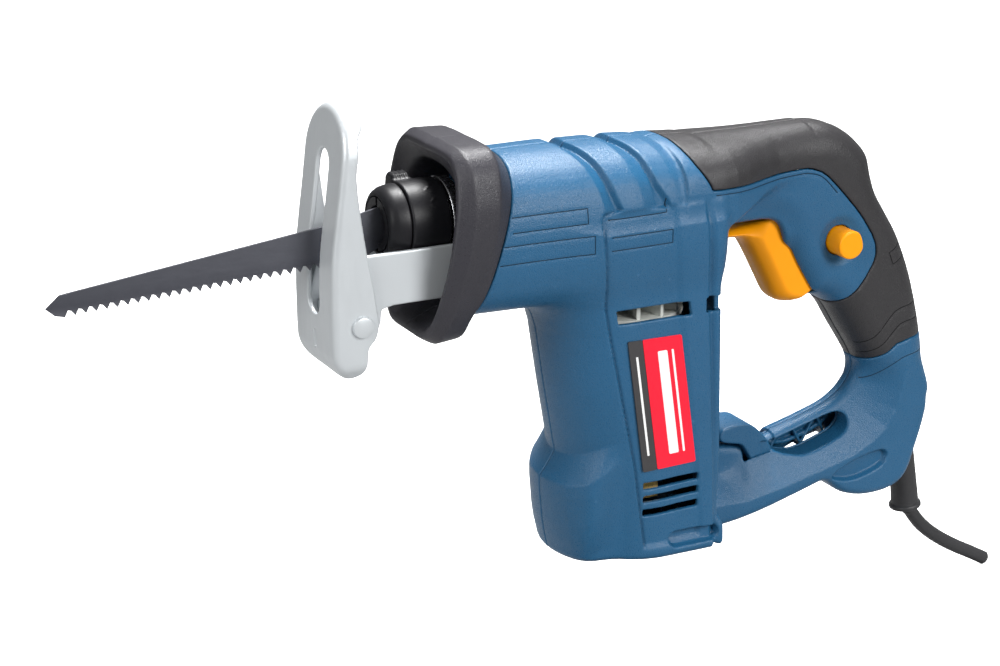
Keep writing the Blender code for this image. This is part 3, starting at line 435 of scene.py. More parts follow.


# key: name, colour, (roughness, grain scale, bump strength, colour drift, edge wear and painted
# edge highlight), extras
SURFACES = {
    "blue": ("housing_blue", (0.0135, 0.092, 0.195), (0.40, 1700, 0.85, 0.05, 0.25),
             dict(speckle=0.12, spec=0.42)),
    "dark": ("overmould_black", (0.026, 0.025, 0.027), (0.44, 1700, 0.85, 0.08, 0.20),
             dict(speckle=0.12, spec=0.40)),
    "guard": ("guard_black", (0.028, 0.027, 0.034), (0.44, 1600, 0.75, 0.08, 0.40),
              dict(speckle=0.12, spec=0.40)),
    "yellow": ("control_yellow", (0.92, 0.325, 0.001), (0.40, 1100, 0.06, 0.03, 0.10),
               dict(spec=0.25)),
    "silver": ("plated_sheet", (0.56, 0.59, 0.61), (0.40, 500, 0.04, 0.04, 0.15),
               dict(metal=0.35, stretch=(1, 1, 0.15))),
    "red": ("badge_red", (0.90, 0.010, 0.035), (0.40, 1300, 0.06, 0.03, 0.0), dict(spec=0.3)),
    # painted shade for the grooves: darkened copies of the housing blue and the overmould black
    "shade_line_blue": ("painted_groove_shade_blue", (0.002, 0.016, 0.034), (0.55, 900, 0.05, 0.1, 0.0),
                  dict(spec=0.2)),
    "shade_line_dark": ("painted_groove_shade_black", (0.003, 0.003, 0.004), (0.60, 900, 0.05, 0.1, 0.0),
                  dict(spec=0.15)),
    "white": ("badge_white", (0.86, 0.86, 0.86), (0.40, 1300, 0.05, 0.02, 0.0), dict(spec=0.3)),
    "charcoal": ("badge_charcoal", (0.038, 0.036, 0.038), (0.40, 1300, 0.06, 0.05, 0.0), {}),
    "steel": ("machined_steel", (0.52, 0.53, 0.55), (0.28, 700, 0.08, 0.08, 0.3),
              dict(metal=1.0, stretch=(0.12, 1, 1))),
    "blade": ("blade_coating", (0.040, 0.042, 0.055), (0.42, 900, 0.10, 0.22, 0.9),
              dict(metal=0.55, stretch=(0.2, 1, 1), spec=0.6)),
    "black": ("gloss_black", (0.008, 0.008, 0.010), (0.42, 1800, 0.012, 0.10, 0.10),
              dict(spec=0.26)),
    "grey": ("fan_grey", (0.60, 0.62, 0.58), (0.5, 700, 0.1, 0.06, 0.1), {}),
    "alu": ("cast_alloy", (0.50, 0.51, 0.52), (0.46, 350, 0.35, 0.10, 0.3), dict(metal=0.9)),
    "copper": ("windings", (0.50, 0.19, 0.07), (0.36, 500, 0.5, 0.18, 0.2),
               dict(metal=0.9, stretch=(1, 1, 0.08))),
    "brass": ("brass_parts", (0.62, 0.43, 0.15), (0.32, 600, 0.1, 0.1, 0.2), dict(metal=1.0)),
    "carbon": ("pressed_carbon", (0.03, 0.03, 0.03), (0.65, 900, 0.3, 0.2, 0.1), {}),
    "core": ("iron_core", (0.22, 0.22, 0.23), (0.5, 500, 0.4, 0.1, 0.2),
             dict(metal=0.8, stretch=(0.1, 0.1, 1))),
    "rubber": ("cord_rubber", (0.022, 0.022, 0.024), (0.5, 800, 0.2, 0.12, 0.2), {}),
}
LOOKS = {key: surface(name, colour, *numbers, **extras)
         for key, (name, colour, numbers, extras) in SURFACES.items()}


def finish(obj, body, look, *nodes, slot=None):
    """Give a piece its material, the body it rides on and what it replaces; the slot argument is
    not used.
    """
    obj.data.materials.append(LOOKS[look])
    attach(obj, body)
    if nodes:
        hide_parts(*nodes)


# ---------------------------------------------------------------- housing outlines
# Half cross-section of the gear barrel (share of half width, share of height)
SHIELD = [
    (0, 1), (0.34, 0.985), (0.64, 0.925), (0.86, 0.82), (0.97, 0.67), (1.0, 0.5),
    (0.985, 0.32), (0.90, 0.165), (0.70, 0.055), (0.36, 0.005), (0, 0)]
# Side-view outlines (x, z)
HANDLE_OUTER = [
    (6, 181.0), (60, 181.4), (90, 182.2), (98, 181.8), (106, 179.4), (114, 174.0),
    (121.6, 166.0), (123.6, 157.0), (126.6, 147.4), (133.0, 137.2), (139.8, 126.4),
    (147.6, 107.9), (152.9, 88.6), (156.4, 72.0), (157.2, 60.0), (157.6, 50.0), (156.4, 46.4),
    (156.6, 40.5), (154.0, 30.0), (151.0, 21.0), (147.5, 10.5), (143.0, 5.0), (136, 2.2),
    (128.3, 1.4), (119.0, 2.0), (108.5, 5.6), (100.5, 13.4), (91.7, 10.8), (67.2, 4.2),
    (52, 1.4), (36, 0.2), (28, 0.2), (20, 4.0), (6, 60)]
WINDOW = [
    (34.5, 40.0), (50, 35.6), (62, 34.6), (73.8, 36.2), (82, 38.4), (92.4, 41.0), (107, 45.2),
    (113, 48.4), (118.0, 52.4), (121.8, 57.6), (123.2, 62.6), (122.2, 67), (118.6, 73.6),
    (112.2, 83.4), (105.2, 95.2), (98.8, 100.7), (90.5, 103.2), (87.5, 108), (81.5, 118),
    (76.8, 127.4), (73.2, 139.6), (67, 143.0), (50, 142.9), (38, 142.5), (34.7, 139.5),
    (34.5, 136)]
STRUT_SLOT = [
    (74.4, 31.6), (77.5, 29.4), (82, 27.6), (91.6, 25.6), (108, 30.6), (113.6, 33.4),
    (116.0, 37.0), (115.2, 41.0), (111.4, 42.8), (106.0, 41.9), (96, 39.1), (82, 35.4),
    (75.0, 33.6)]
STRUT_GAP = [
    (93.0, 18.4), (98.5, 21.8), (106, 24.4), (113, 26.0), (118.5, 26.0), (123.0, 23.4),
    (121.5, 19.6), (112, 16.8), (102, 16.0), (95, 16.0)]
LOBE_POCKET = [
    (100.7, 14.1), (114.3, 20.7), (130.9, 24.2), (134.5, 21.1), (131.4, 15.1), (114.7, 10.6)]
# The area covered by the black overmould
OVERMOULD = [
    (16.2, 190), (19, 178), (25.4, 167.4), (26.0, 165.4), (27.6, 164.8), (50, 164.0),
    (78.2, 164.6), (86, 164.4), (94, 161.2), (102.2, 153.0), (113.7, 140.1), (122.3, 126.8),
    (123.2, 118.0), (116.2, 106.8), (107.5, 98.8), (100.5, 97.4), (92.4, 99.2), (90, 95),
    (104, 70.5), (110.5, 66.6), (117.8, 65.4), (128.9, 68.8), (138.8, 76.3), (166, 77.6),
    (172, 130), (130, 192)]
# Crease where the lower handle starts to thin towards the window
HANDLE_CREASE = [
    (20, 10.5), (48.8, 11.1), (57.5, 10.8), (78.1, 14.4), (98.8, 19.1), (114.5, 23),
    (125, 27.9), (133.3, 34.1), (138.2, 42.7), (140.5, 50.9), (143, 62), (146, 78)]
# Opening for the trigger, in the trigger's frame (along, across)
TRIGGER_ROOM = [
    (-9, -19.0), (16.8, -19.0), (16.8, 22.6), (7, 23.9), (-2, 26.6), (-11, 29.7),
    (-18, 32.2), (-30, 33.6), (-30, 18), (-9, 14)]

# Fine decorative lines (x, z)
PANEL_LINES = [
    [(-76, 145.6), (-32.6, 145.6), (-32.6, 153.4), (-74, 153.4)],
    [(-70, 158.8), (-35.2, 158.8), (-35.2, 165.2), (-70, 165.2)],
    [(-25, 158.6), (3.4, 158.6), (3.4, 164.6)],
    [(-24, 145.4), (5.6, 145.4), (5.6, 151.2), (-24, 151.2)]]
BROW_LINE = [(27.8, 162.8), (50, 161.9), (78.2, 162.4), (86, 162.0), (93, 159.2), (100.6, 151.4)]
GRIP_MARK = [
    (137.6, 122.4), (135.2, 121.1), (130.4, 119.5), (132.5, 113.7), (138, 115.4), (141, 116.4)]
# Curves low on the grip: shared points, end points of the groove, end points of the laid line
GRIP_CURVES = [
    ([(105, 78.7), (113.2, 75.7), (123.3, 78.6), (135, 90.8), (145.2, 92.9)],
     ((103, 79.6), (160, 94)), ((103.6, 79.4), (149.4, 93.4))),
    ([(107.2, 73), (115.5, 69.5), (126.6, 73.6), (137.9, 84.1), (147.2, 85.4)],
     ((105, 74.2), (160, 86.2)), ((105.6, 74.0), (151, 85.7)))]
LOW_CURVE = (
    [(110.7, 64.4), (118.1, 58.3), (127.4, 58.2), (140.3, 67.4), (151.2, 68.9)],
    ((108, 67.0), (162, 69.4)), ((108.4, 66.6), (154.6, 69.1)))

# Ribs over the body. Wrap 0 is the crest, 90 the widest point, then millimetres down the side.
# wrap, [front land end, foot of wall, wall top, rib 1 back, rib 1 foot, rib 2 wall foot,
#        wall top, rib 2 crest end, rib 2 end, rear land]
RELIEF_LINES = [
    (0, [-37.0, -30.6, -29.2, -14.6, -9.0, -8.6, -7.2, 4.0, 11.0, 15.0]),
    (20, [-35.2, -28.7, -27.2, -13.2, -7.0, -6.4, -4.9, 5.2, 11.6, 15.2]),
    (34, [-32.9, -26.5, -25.0, -12.0, -5.2, -4.5, -3.0, 6.2, 12.4, 15.6]),
    (50, [-30.4, -24.4, -22.8, -10.6, -3.9, -3.0, -1.4, 7.4, 13.2, 16.4]),
    (60, [-28.6, -22.9, -21.2, -9.2, -2.6, -1.4, 0.3, 8.2, 14.0, 17.2]),
    (70, [-27.6, -20.9, -19.2, -8.2, -1.6, 2.0, 4.0, 8.6, 14.2, 18.0]),
    (74, [-27.4, -19.4, -17.9, -8.0, -1.4, 3.4, 5.4, 8.6, 14.4, 18.4]),
    (76.5, [-28.2, -27.4, -18.6, -8.0, -1.4, 4.2, 5.8, 8.7, 14.6, 18.8]),
    (80, [-29.0, -27.9, -20.0, -8.6, -2.4, 4.6, 6.0, 8.8, 14.8, 19.2]),
    (90, [-28.9, -27.8, -26.6, -10.0, -3.0, 5.0, 6.0, 9.0, 15.4, 20.0]),
    (123.7, [-25.6, -24.5, -23.6, -8.0, -2.0, 9.0, 10.0, 13.0, 20.4, 24.0]),
    (199, [-10.6, -9.5, -8.8, -2.0, 4.0, 18.0, 19.0, 21.6, 28.4, 30.6]),
    (236.7, [-5.4, -4.4, -3.6, 0.0, 5.0, 22.0, 23.0, 25.6, 31.0, 32.0]),
    (250, [-5.0, -3.9, -3.0, 0.0, 5.0, 22.0, 23.0, 25.6, 31.0, 32.0])]
# Depth at each of those lines, over the arch and down the side
ARCH_DEPTH = [0.0, 3.0, 0.3, 0.6, 2.4, 3.1, 0.3, 0.5, 1.3, 0.5]
SIDE_DEPTH = [0.0, 2.2, 1.5, 1.5, 1.5, 1.5, 1.5, 0.4, 0.0, 0.0]

# Screws of the right half: x, z, distance of the seat from the middle plane, piece
SCREWS = [
    (28.0, 145.8, 8, "blue"), (28.5, 8.2, 8, "blue"), (-31.0, 8.5, 8, "blue"),
    (112.0, 160.5, 8, "dark"), (*GRIP_SCREW, 4, "dark"), (134.0, 12.5, 8, "blue")]


# ---------------------------------------------------------------- housing field
# The field is symmetric: it uses |y|, the distance from the middle plane.
def gear_barrel(grid):
    """One cross-section, tabulated once and scaled along x."""
    half_width, height = 34, 66
    first_y, first_z, pitch = -4, -20, 0.5
    section = plane_of(np.arange(first_y, 60, pitch), np.arange(first_z, 90, pitch))
    half = [(u * half_width, v * height) for u, v in SHIELD]
    outline = half + [(-a, b) for a, b in reversed(half[1:-1])]
    table = outline_distance(round_corners(outline), section).astype(np.float32)

    stations = [-90, -62, -40, -12, 18, 34]
    width = np.interp(grid.xs, stations, [33.9, 34.0, 34.9, 35.4, 34.2, 33.2])[:, None, None]
    top = np.interp(grid.xs, [-90, -62, -40, -12, 6, 18, 34],
                    [186.9, 187.0, 187.0, 186.8, 186.0, 184.8, 182.8])[:, None, None]
    low = np.interp(grid.xs, stations,
                    [119.6, 118.9, 118.2, 118.6, 119.6, 119.6])[:, None, None]
    # bilinear lookup in the table
    u = np.clip((np.abs(grid.y) * half_width / width - first_y) / pitch, 0, table.shape[0] - 2)
    v = np.clip(((grid.z - low) * height / (top - low) - first_z) / pitch,
                0, table.shape[1] - 2)
    row, col = u.astype(np.int32), v.astype(np.int32)
    part_u, part_v = (u - row).astype(np.float32), (v - col).astype(np.float32)
    row, col, part_u, part_v = np.broadcast_arrays(row, col, part_u, part_v)
    barrel = (table[row, col] * (1 - part_u) * (1 - part_v)
              + table[row + 1, col] * part_u * (1 - part_v)
              + table[row, col + 1] * (1 - part_u) * part_v
              + table[row + 1, col + 1] * part_u * part_v)
    return rounded_max(barrel, grid.x - 33.4, 3.0)


def motor_barrel(grid):
    """Upright barrel: half-round front, flat sides and back, swollen base."""
    x, z, side = grid.x, grid.z, np.abs(grid.y)
    tip = np.interp(grid.zs, [0, 4, 16, 36, 46.5, 79, 105, 119, 140],
                    [-27.2, -27.5, -28.7, -31.5, -33.4, -38.9, -42.8, -46.8, -55.6])
    radius = np.interp(grid.zs, [0, 46, 105, 130], [33.0, 32.9, 32.9, 32.9])
    centre = (tip + radius)[None, None, :]
    barrel = np.sqrt(np.minimum(x - centre, 0) ** 2 + side ** 2) - radius[None, None, :]
    # the swelling fades out backwards along the side, and its upper edge rises there
    angle = np.arctan2(side, np.maximum(-(x - centre), -60.0))
    fade = 1 - smooth_step(-32.0, -12.0, x)
    level = z - 11.0 * smooth_step(-38, -14, x)
    swell = np.interp(level.ravel(), [-30, -2, 3, 10, 16, 30, 36.0, 45.8, 60],
                      [9.0, 9.2, 10.0, 10.8, 11.0, 10.2, 9.4, 0.1, 0]).reshape(level.shape)
    around = np.clip(1.15 - 0.35 * np.abs(angle), 0.3, 1.0)
    barrel = barrel - (swell * fade * around).astype(np.float32)
    back = x - np.interp(grid.zs, [0, 9, 14, 142, 150],
                         [36.6, 36.4, 34.0, 32.6, 32.6])[None, None, :]
    barrel = rounded_max(barrel, back, 4.0)
    barrel = rounded_max(barrel, -z - 1.0, 3.2)
    return np.maximum(barrel, z - 150)


def relief_depths(wrap):
    """Depth at each relief line, eased from arch to side and out at the lower lip."""
    blend = float(np.clip((wrap - 75.2) / 2.2, 0, 1))
    lip = float(np.clip((wrap - 236.2) / 2.2, 0, 1))
    return [(a * (1 - blend) + s * blend) * (1 - lip) for a, s in zip(ARCH_DEPTH, SIDE_DEPTH)]


def relief(grid):
    """Depth of the ribs and lands over the body."""
    widest_z = 153.0
    line_wraps = [wrap for wrap, _ in RELIEF_LINES]
    columns = list(zip(*[places for _, places in RELIEF_LINES]))
    table = np.zeros((grid.shape[0], 250), np.float32)
    for n, wrap in enumerate(np.arange(0, 250, 1.0)):
        places = [np.interp(wrap, line_wraps, column) for column in columns]
        for i in range(1, len(places)):
            places[i] = max(places[i], places[i - 1] + 0.05)
        table[:, n] = np.interp(grid.xs, places, relief_depths(wrap))
        if wrap > 74:
            # groove behind the rear rib, on the side only
            depth = 1.7 * min(1.0, (wrap - 74) / 4.0) * (1 - float(np.clip((wrap - 244) / 4, 0, 1)))
            mid = np.interp(wrap, [74, 90, 123.7, 199, 250], [23.2, 24.0, 26.4, 30.0, 31.6])
            table[:, n] += np.interp(grid.xs, [mid - 1.6, mid - 0.6, mid + 0.4, mid + 3.2],
                                     [0, depth, depth, 0.1]).astype(np.float32)
    side, z = np.abs(grid.ys)[:, None], grid.zs[None, :]
    over_arch = np.degrees(np.arctan2(side, np.maximum(z - widest_z, 1e-3)))
    wraps = np.clip(np.where(z > widest_z, over_arch, 90 + (widest_z - z)), 0, 248)
    index = wraps.astype(np.int32)
    part = (wraps - index).astype(np.float32)[None]
    return table[:, index] * (1 - part) + table[:, np.minimum(index + 1, 249)] * part


def handle_loop(grid, plane, window):
    """The D-shaped handle, thinner towards the window in its lower part."""
    plan_x, plan_z = plane
    outer = outline_distance(round_corners(HANDLE_OUTER), plane)
    from_window = np.maximum(window, 0)
    low_zone = 1 - smooth_step(56, 76, plan_z + 0.25 * (plan_x - 120))
    from_crease = line_distance(HANDLE_CREASE, plane)
    within = outline_distance(HANDLE_CREASE + [(146, 200), (20, 200)], plane) < 0
    share = np.where(within, from_window / np.maximum(from_window + from_crease, 1e-3), 1.0)
    half_width = np.where(plan_x < 33, 17.0, 17.0 - low_zone * 10.8 * (1 - share ** 1.35))
    edge_radius = 4.0 + 9.5 * (1 - low_zone)
    return rounded_max(through_y(np.maximum(outer, -window)),
                       (np.abs(grid.y) - half_width[:, None, :]).astype(np.float32),
                       through_y(edge_radius))


def neck(grid, window):
    """The neck between the barrel and the grip, undercut below the brow line."""
    x, z, side = grid.x, grid.z, np.abs(grid.y)

    def along_x(stations, values):
        return np.interp(grid.xs, stations, values)[:, None, None]

    width = along_x([10, 33, 40, 48, 58, 68, 78, 90],
                    [33.0, 32.2, 31.0, 28.0, 23.2, 19.4, 17.0, 14.0])
    centre = along_x([10, 33, 60, 90], [163.5, 164.0, 166.0, 167.0])
    height = along_x([10, 33, 60, 90], [19.0, 18.2, 16.0, 15.2])
    rise = (z - centre) / np.where(z > centre, height, height * 1.05)
    reach = (np.abs(side / width) ** 2.5 + np.abs(rise) ** 2.5) ** (1 / 2.5)
    upper = ((reach - 1) * np.minimum(width, height)).astype(np.float32)
    brow = along_x([20, 33.9, 45.2, 59.8, 73.7, 85.3, 100],
                   [143.0, 147.2, 151.9, 158.2, 162.0, 162.5, 163.0])
    under_width = 14.6 + (width - 14.6) * smooth_step(brow - 8.0, brow + 0.6, z)
    under_width = under_width * smooth_step(112.0, 136.0, z)
    lower = rounded_max(side - under_width, -through_y(window), 2.5)
    return np.maximum(np.where(z > centre, upper, lower).astype(np.float32), x - 88)


def housing_skin(grid, plane):
    """The outer surface of the housing before any detail."""
    window = outline_distance(round_corners(WINDOW, 3), plane)
    body = smooth_min(gear_barrel(grid), motor_barrel(grid), 9.0) + relief(grid)
    grip = smooth_min(handle_loop(grid, plane, window), neck(grid, window), 3.0)
    grip = np.maximum(grip, 14 - grid.x)
    return smooth_min(body, grip, 3.2).astype(np.float32)


def with_ends(points, ends):
    return [ends[0], *points, ends[1]]


def add_surface_details(skin, grid, plane):
    """Grooves, dish, pockets and hollow, alike on both sides."""
    plan_x, plan_z = plane

    def beyond(start):
        """0 near the middle plane, 1 from 3 mm past the start outwards."""
        return np.clip((np.abs(grid.y) - start) / 3, 0, 1)

    grooves = PANEL_LINES + [BROW_LINE, GRIP_MARK]
    grooves += [with_ends(points, ends) for points, ends, _ in GRIP_CURVES + [LOW_CURVE]]
    from_groove = np.minimum.reduce([line_distance(points, plane) for points in grooves])
    skin = skin + through_y(0.3 * np.exp(-(from_groove / 0.6) ** 2)) * beyond(12)
    dish = 1 - smooth_step(7.0, 12.5, point_distance(LOCK_BUTTON, plane))
    skin = skin + through_y(1.5 * dish) * beyond(10)
    lobe = outline_distance(round_corners(LOBE_POCKET), plane)
    skin = skin + through_y(3.0 * (1 - smooth_step(-1.0, 0.6, lobe))) * beyond(8)
    foot = outline_distance(stadium((11.0, 6.9), (29.4, 6.9), 3.4), plane)
    skin = skin + through_y(3.2 * (1 - smooth_step(-0.8, 0.5, foot))) * beyond(20)
    by_hook = (np.exp(-(((plan_x - 49) / 10.0) ** 2 + ((plan_z - 23) / 8.0) ** 2))
               * (1 - smooth_step(44, 52, plan_z)) * (1 - smooth_step(58, 64, plan_x)))
    return skin + through_y(3.4 * by_hook) * beyond(4)


def wall_openings(grid, plane):
    """Everything cut through the wall on both sides."""
    plan_x, plan_z = plane
    side = np.abs(grid.y)
    slanted = np.maximum(np.abs(plan_z - 113.9) - 3.2,
                         np.abs(plan_x + (plan_z - 114) * 0.16 + 1.2) - 17.6)
    # plan shape, nearest and farthest distance from the middle plane
    cuts = [(slanted, 20, 60),
            (box_distance(24.2, 44, 110.8, 117.4, plane), 28.6, 60),
            (box_distance(24.2, 30.2, 110.8, 117.4, plane), 20, 60)]
    for low in (20.4, 26.9, 33.1):
        tilt = (plan_x - 8) * 0.035
        slot = np.maximum(np.abs(plan_z - tilt - low - 1.6) - 1.6, np.abs(plan_x - 8.4) - 13.6)
        cuts.append((slot, 20, 60))
    room = outline_distance([trigger_point(*p) for p in TRIGGER_ROOM], plane)
    hook_room = np.maximum(box_distance(60.3, 77.7, 20, 50, plane),
                           27.3 + 0.23 * (plan_x - 60.3) - plan_z)
    cuts += [(room, -5, 11.35),
             (point_distance(HOOK_PIVOT, plane) - 8.5, -5, 7.9),
             (hook_room, -5, 10.3)]
    openings = [np.maximum(through_y(plan), np.maximum(near - side, side - far))
                for plan, near, far in cuts]
    # tapered bore for the cord sleeve
    top, end = np.array(SLEEVE_TOP), np.array(SLEEVE_END)
    axis = (end - top) / np.linalg.norm(end - top)
    along = (plan_x - top[0]) * axis[0] + (plan_z - top[1]) * axis[1]
    across = (plan_x - top[0]) * axis[1] - (plan_z - top[1]) * axis[0]
    bore = (np.sqrt(through_y(across) ** 2 + grid.y ** 2)
            - np.interp(along, [0, 55], [6.3, 7.9])[:, None, :])
    openings.append(np.maximum(bore, through_y(-along - 2.0)))
    return openings


def left_strut_and_button(blue, skin, grid, plane, slot):
    """Left half: hole for the lock button and a framed slot in the strut."""
    side = np.abs(grid.y)
    hole = np.maximum(through_y(point_distance(LOCK_BUTTON, plane) - 7.0), 9 - side)
    blue = np.maximum(blue, -hole)
    walls = np.maximum(np.maximum(through_y(slot - 2.2), 0.25 - side), side - 10.5)
    walls = np.maximum(walls, skin + 0.9)
    return rounded_max(np.minimum(blue, walls), -through_y(slot), 0.9)


def right_strut(blue, skin, grid, plane, slot):
    """Right half: slanted webs and a rim round the slot, and a gap below it."""
    plan_x, plan_z = plane
    for web_x, lean in ((87.5, 0.6), (96.0, -0.55), (104.5, 0.6), (111.0, -0.5)):
        web = np.abs((plan_x - web_x) - lean * (plan_z - 32)) - 0.75
        web = through_y(np.maximum(web, np.abs(plan_z - 33) - 9.5))
        blue = np.minimum(blue, np.maximum(np.maximum(web, skin + 0.6), 5.2 - grid.y))
    rim = np.maximum(through_y(np.abs(slot + 0.6) - 0.9), skin + 0.6)
    blue = np.minimum(blue, np.maximum(rim, 6.0 - grid.y))
    gap = outline_distance(round_corners(STRUT_GAP), plane)
    return rounded_max(blue, -through_y(gap), 0.6)


def build_housing():
    grid = Grid((-95, -1.6, -1.6), (167, 38.6, 190.5), coarse=1.15, fine=0.55)
    plane = plane_of(grid.xs, grid.zs)
    side = np.abs(grid.y)
    wall, half_gap, joint = 2.6, 0.12, 0.22
    skin = add_surface_details(housing_skin(grid, plane), grid, plane)
    shell = np.maximum(skin, -(skin + wall))
    for cut in wall_openings(grid, plane):
        shell = rounded_max(shell, -cut, 0.35).astype(np.float32)
    shell = rounded_max(shell, half_gap - grid.y, 0.35)

    zone = outline_distance(round_corners(OVERMOULD, 1), plane)
    seam = ((SEAM_TOP[0] + SEAM_SLOPE * (grid.z - SEAM_TOP[1]) - grid.x)
            / math.sqrt(1 + SEAM_SLOPE * SEAM_SLOPE))
    blue = rounded_max(shell, -through_y(zone - joint), 0.4)
    blue = rounded_max(blue, seam + 0.2, 0.5)
    dark = rounded_max(shell, through_y(zone + joint), 0.4)

    slot = outline_distance(round_corners(STRUT_SLOT), plane)
    blue_left = left_strut_and_button(blue, skin, grid, plane, slot)
    right = {"blue": right_strut(blue, skin, grid, plane, slot), "dark": dark}
    for screw_x, screw_z, seat, piece in SCREWS:
        radius = through_y(point_distance((screw_x, screw_z), plane))
        boss = np.maximum(np.maximum(radius - 6.0, skin), 0.2 - side)
        bore = np.minimum(np.maximum(radius - 4.3, seat - side), radius - 2.2)
        right[piece] = np.maximum(np.minimum(right[piece], boss), -bore)

    for name, field, look, replaced in (
            ("shell_left", blue_left, "blue", "housing_left"),
            ("shell_right", right["blue"], "blue", "housing_right"),
            ("overmould_left", dark, "dark", "grip_left"),
            ("overmould_right", right["dark"], "dark", "grip_right")):
        finish(grid.mesh(field, name, mirror=name.endswith("left")), "base", look, replaced)


# ---------------------------------------------------------------- painted groove shade: dark lines laid into the skin
def straight_run(points, spacing=1.2):
    """Points spread along a polyline."""
    legs = [np.linspace(a, b, max(2, int(np.linalg.norm(np.subtract(b, a)) / spacing) + 1))[:-1]
            for a, b in zip(points, points[1:])]
    return np.vstack(legs + [[points[-1]]])


def laid_shade_lines(name, runs, skin, sign, look, slot, radius=0.27, sink=0.05, flatten=0.55):
    """Flattened cords that follow the surface of a moulded piece, half sunk in it; their darkened
    copy of its colour paints the shade of its grooves.
    """
    tree = BVHTree.FromPolygons([v.co[:] for v in skin.data.vertices],
                                [p.vertices[:] for p in skin.data.polygons])
    bm = bmesh.new()
    for run in runs:
        row = []
        for run_x, run_z in run:
            place, normal, _, _ = tree.ray_cast(Vector((run_x, sign * 70.0, run_z)) * MM,
                                                Vector((0, -sign, 0)))
            if place is not None and sign * place.y > 0.006:
                normal = normal.normalized()
                row.append((place / MM - normal * sink, normal))
        if len(row) < 3:
            continue
        rings = []
        for i, (place, normal) in enumerate(row):
            ahead = (row[min(i + 1, len(row) - 1)][0] - row[max(i - 1, 0)][0]).normalized()
            across = ahead.cross(normal).normalized()
            outward = across.cross(ahead)
            rings.append([
                place + radius * (math.cos(t) * across + flatten * math.sin(t) * outward)
                for t in np.linspace(0, 2 * math.pi, 8, endpoint=False)])
        add_skin(bm, rings)
    finish(smooth_object(name, bm), "base", look, slot=slot)


def build_laid_shade_lines():
    low_points, _, low_ends = LOW_CURVE
    panel_runs = [straight_run(points) for points in PANEL_LINES]
    panel_runs += [spline(BROW_LINE, 10), spline(with_ends(low_points, low_ends), 10)]
    grip_runs = [spline(with_ends(points, ends), 10) for points, _, ends in GRIP_CURVES]
    grip_runs.append(straight_run(GRIP_MARK))
    for half, sign in (("left", -1), ("right", 1)):
        laid_shade_lines("panel_groove_shade_" + half, panel_runs, bpy.data.objects["shell_" + half],
                   sign, "shade_line_blue", "blue")
        laid_shade_lines("grip_groove_shade_" + half, grip_runs, bpy.data.objects["overmould_" + half],
                   sign, "shade_line_dark", "dark")


# ---------------------------------------------------------------- nose guard
# Half outline of the front rim, in the same shares as SHIELD
RIM = [
    (0, 1), (0.34, 1.0), (0.66, 0.985), (0.87, 0.91), (0.97, 0.785), (1.0, 0.67),
    (0.985, 0.48), (0.895, 0.30), (0.74, 0.12), (0.5, 0.01), (0, 0)]


def rim_x(y, z):
    return -93.6 - (195.0 - z) * 0.132 + 1.6 * (y / 38.0) ** 2


def ridge_x(y, z):
    return float(np.interp(z, [108, 119, 134.8, 158.5, 173.5, 186.4, 196],
                           [-99.6, -97.4, -94.2, -89.6, -87.6, -87.8, -88.6]))


def crease_x(y, z):
    return float(np.interp(z, [108, 132.4, 150.6, 167, 179, 196],
                           [-89.4, -86.1, -81.6, -78.0, -76.6, -75.6]))


def seam_x(y, z):
    return SEAM_TOP[0] + SEAM_SLOPE * (z - SEAM_TOP[1])


def flat_x(y, z):
    return 0.0


# Loop round the guard's wall: outline, half width, low z, high z, x function, shift in x
GUARD_WALL = [
    ("shield", 33.4, 119.6, 186.3, seam_x, -0.3), ("shield", 34.2, 118.9, 187.0, seam_x, -0.9),
    ("rim", 36.7, 111.6, 194.2, crease_x, 0.5), ("rim", 36.95, 111.2, 194.5, crease_x, -0.5),
    ("rim", 37.95, 110.5, 194.9, ridge_x, 0.7), ("rim", 38.0, 110.5, 194.9, ridge_x, -0.5),
    ("rim", 35.2, 112.6, 193.2, rim_x, 0.9), ("rim", 34.4, 113.4, 192.6, rim_x, 0.1),
    ("rim", 32.6, 115.6, 190.6, rim_x, 0.1), ("rim", 31.9, 116.6, 189.8, rim_x, 1.0),
    ("shield", 31.0, 121.4, 185.4, flat_x, -90.5), ("shield", 30.5, 123.3, 183.7, flat_x, -86.5),
    ("shield", 30.5, 123.3, 183.7, seam_x, -0.3)]


def even_stations(points, count):
    """Respace a half outline evenly, measured at about its real size."""
    curve = spline(points, 8)
    steps = np.linalg.norm(np.diff(curve, axis=0) * [34, 70], axis=1)
    length = np.concatenate([[0], np.cumsum(steps)])
    t = np.linspace(0, length[-1], count)
    return np.stack([np.interp(t, length, curve[:, 0]), np.interp(t, length, curve[:, 1])], 1)


def build_guard():
    count = 90
    shield, rim = even_stations(SHIELD, count), even_stations(RIM, count)
    for half, sign in (("left", -1), ("right", 1)):
        rings = []
        for shield_at, rim_at in zip(shield, rim):
            shares = {"shield": shield_at, "rim": rim_at}
            wall = []
            for outline, half_width, low, high, x_of, shift in GUARD_WALL:
                u, v = shares[outline]
                y, z = max(u * half_width, 0.12), low + v * (high - low)
                wall.append((x_of(y, z) + shift, sign * y, z))
            rings.append(round_corners(wall, 1, 0.16))
        piece = tube("guard_" + half, rings, sharp=60)
        finish(piece, "base", "guard", "nose_guard_" + half)


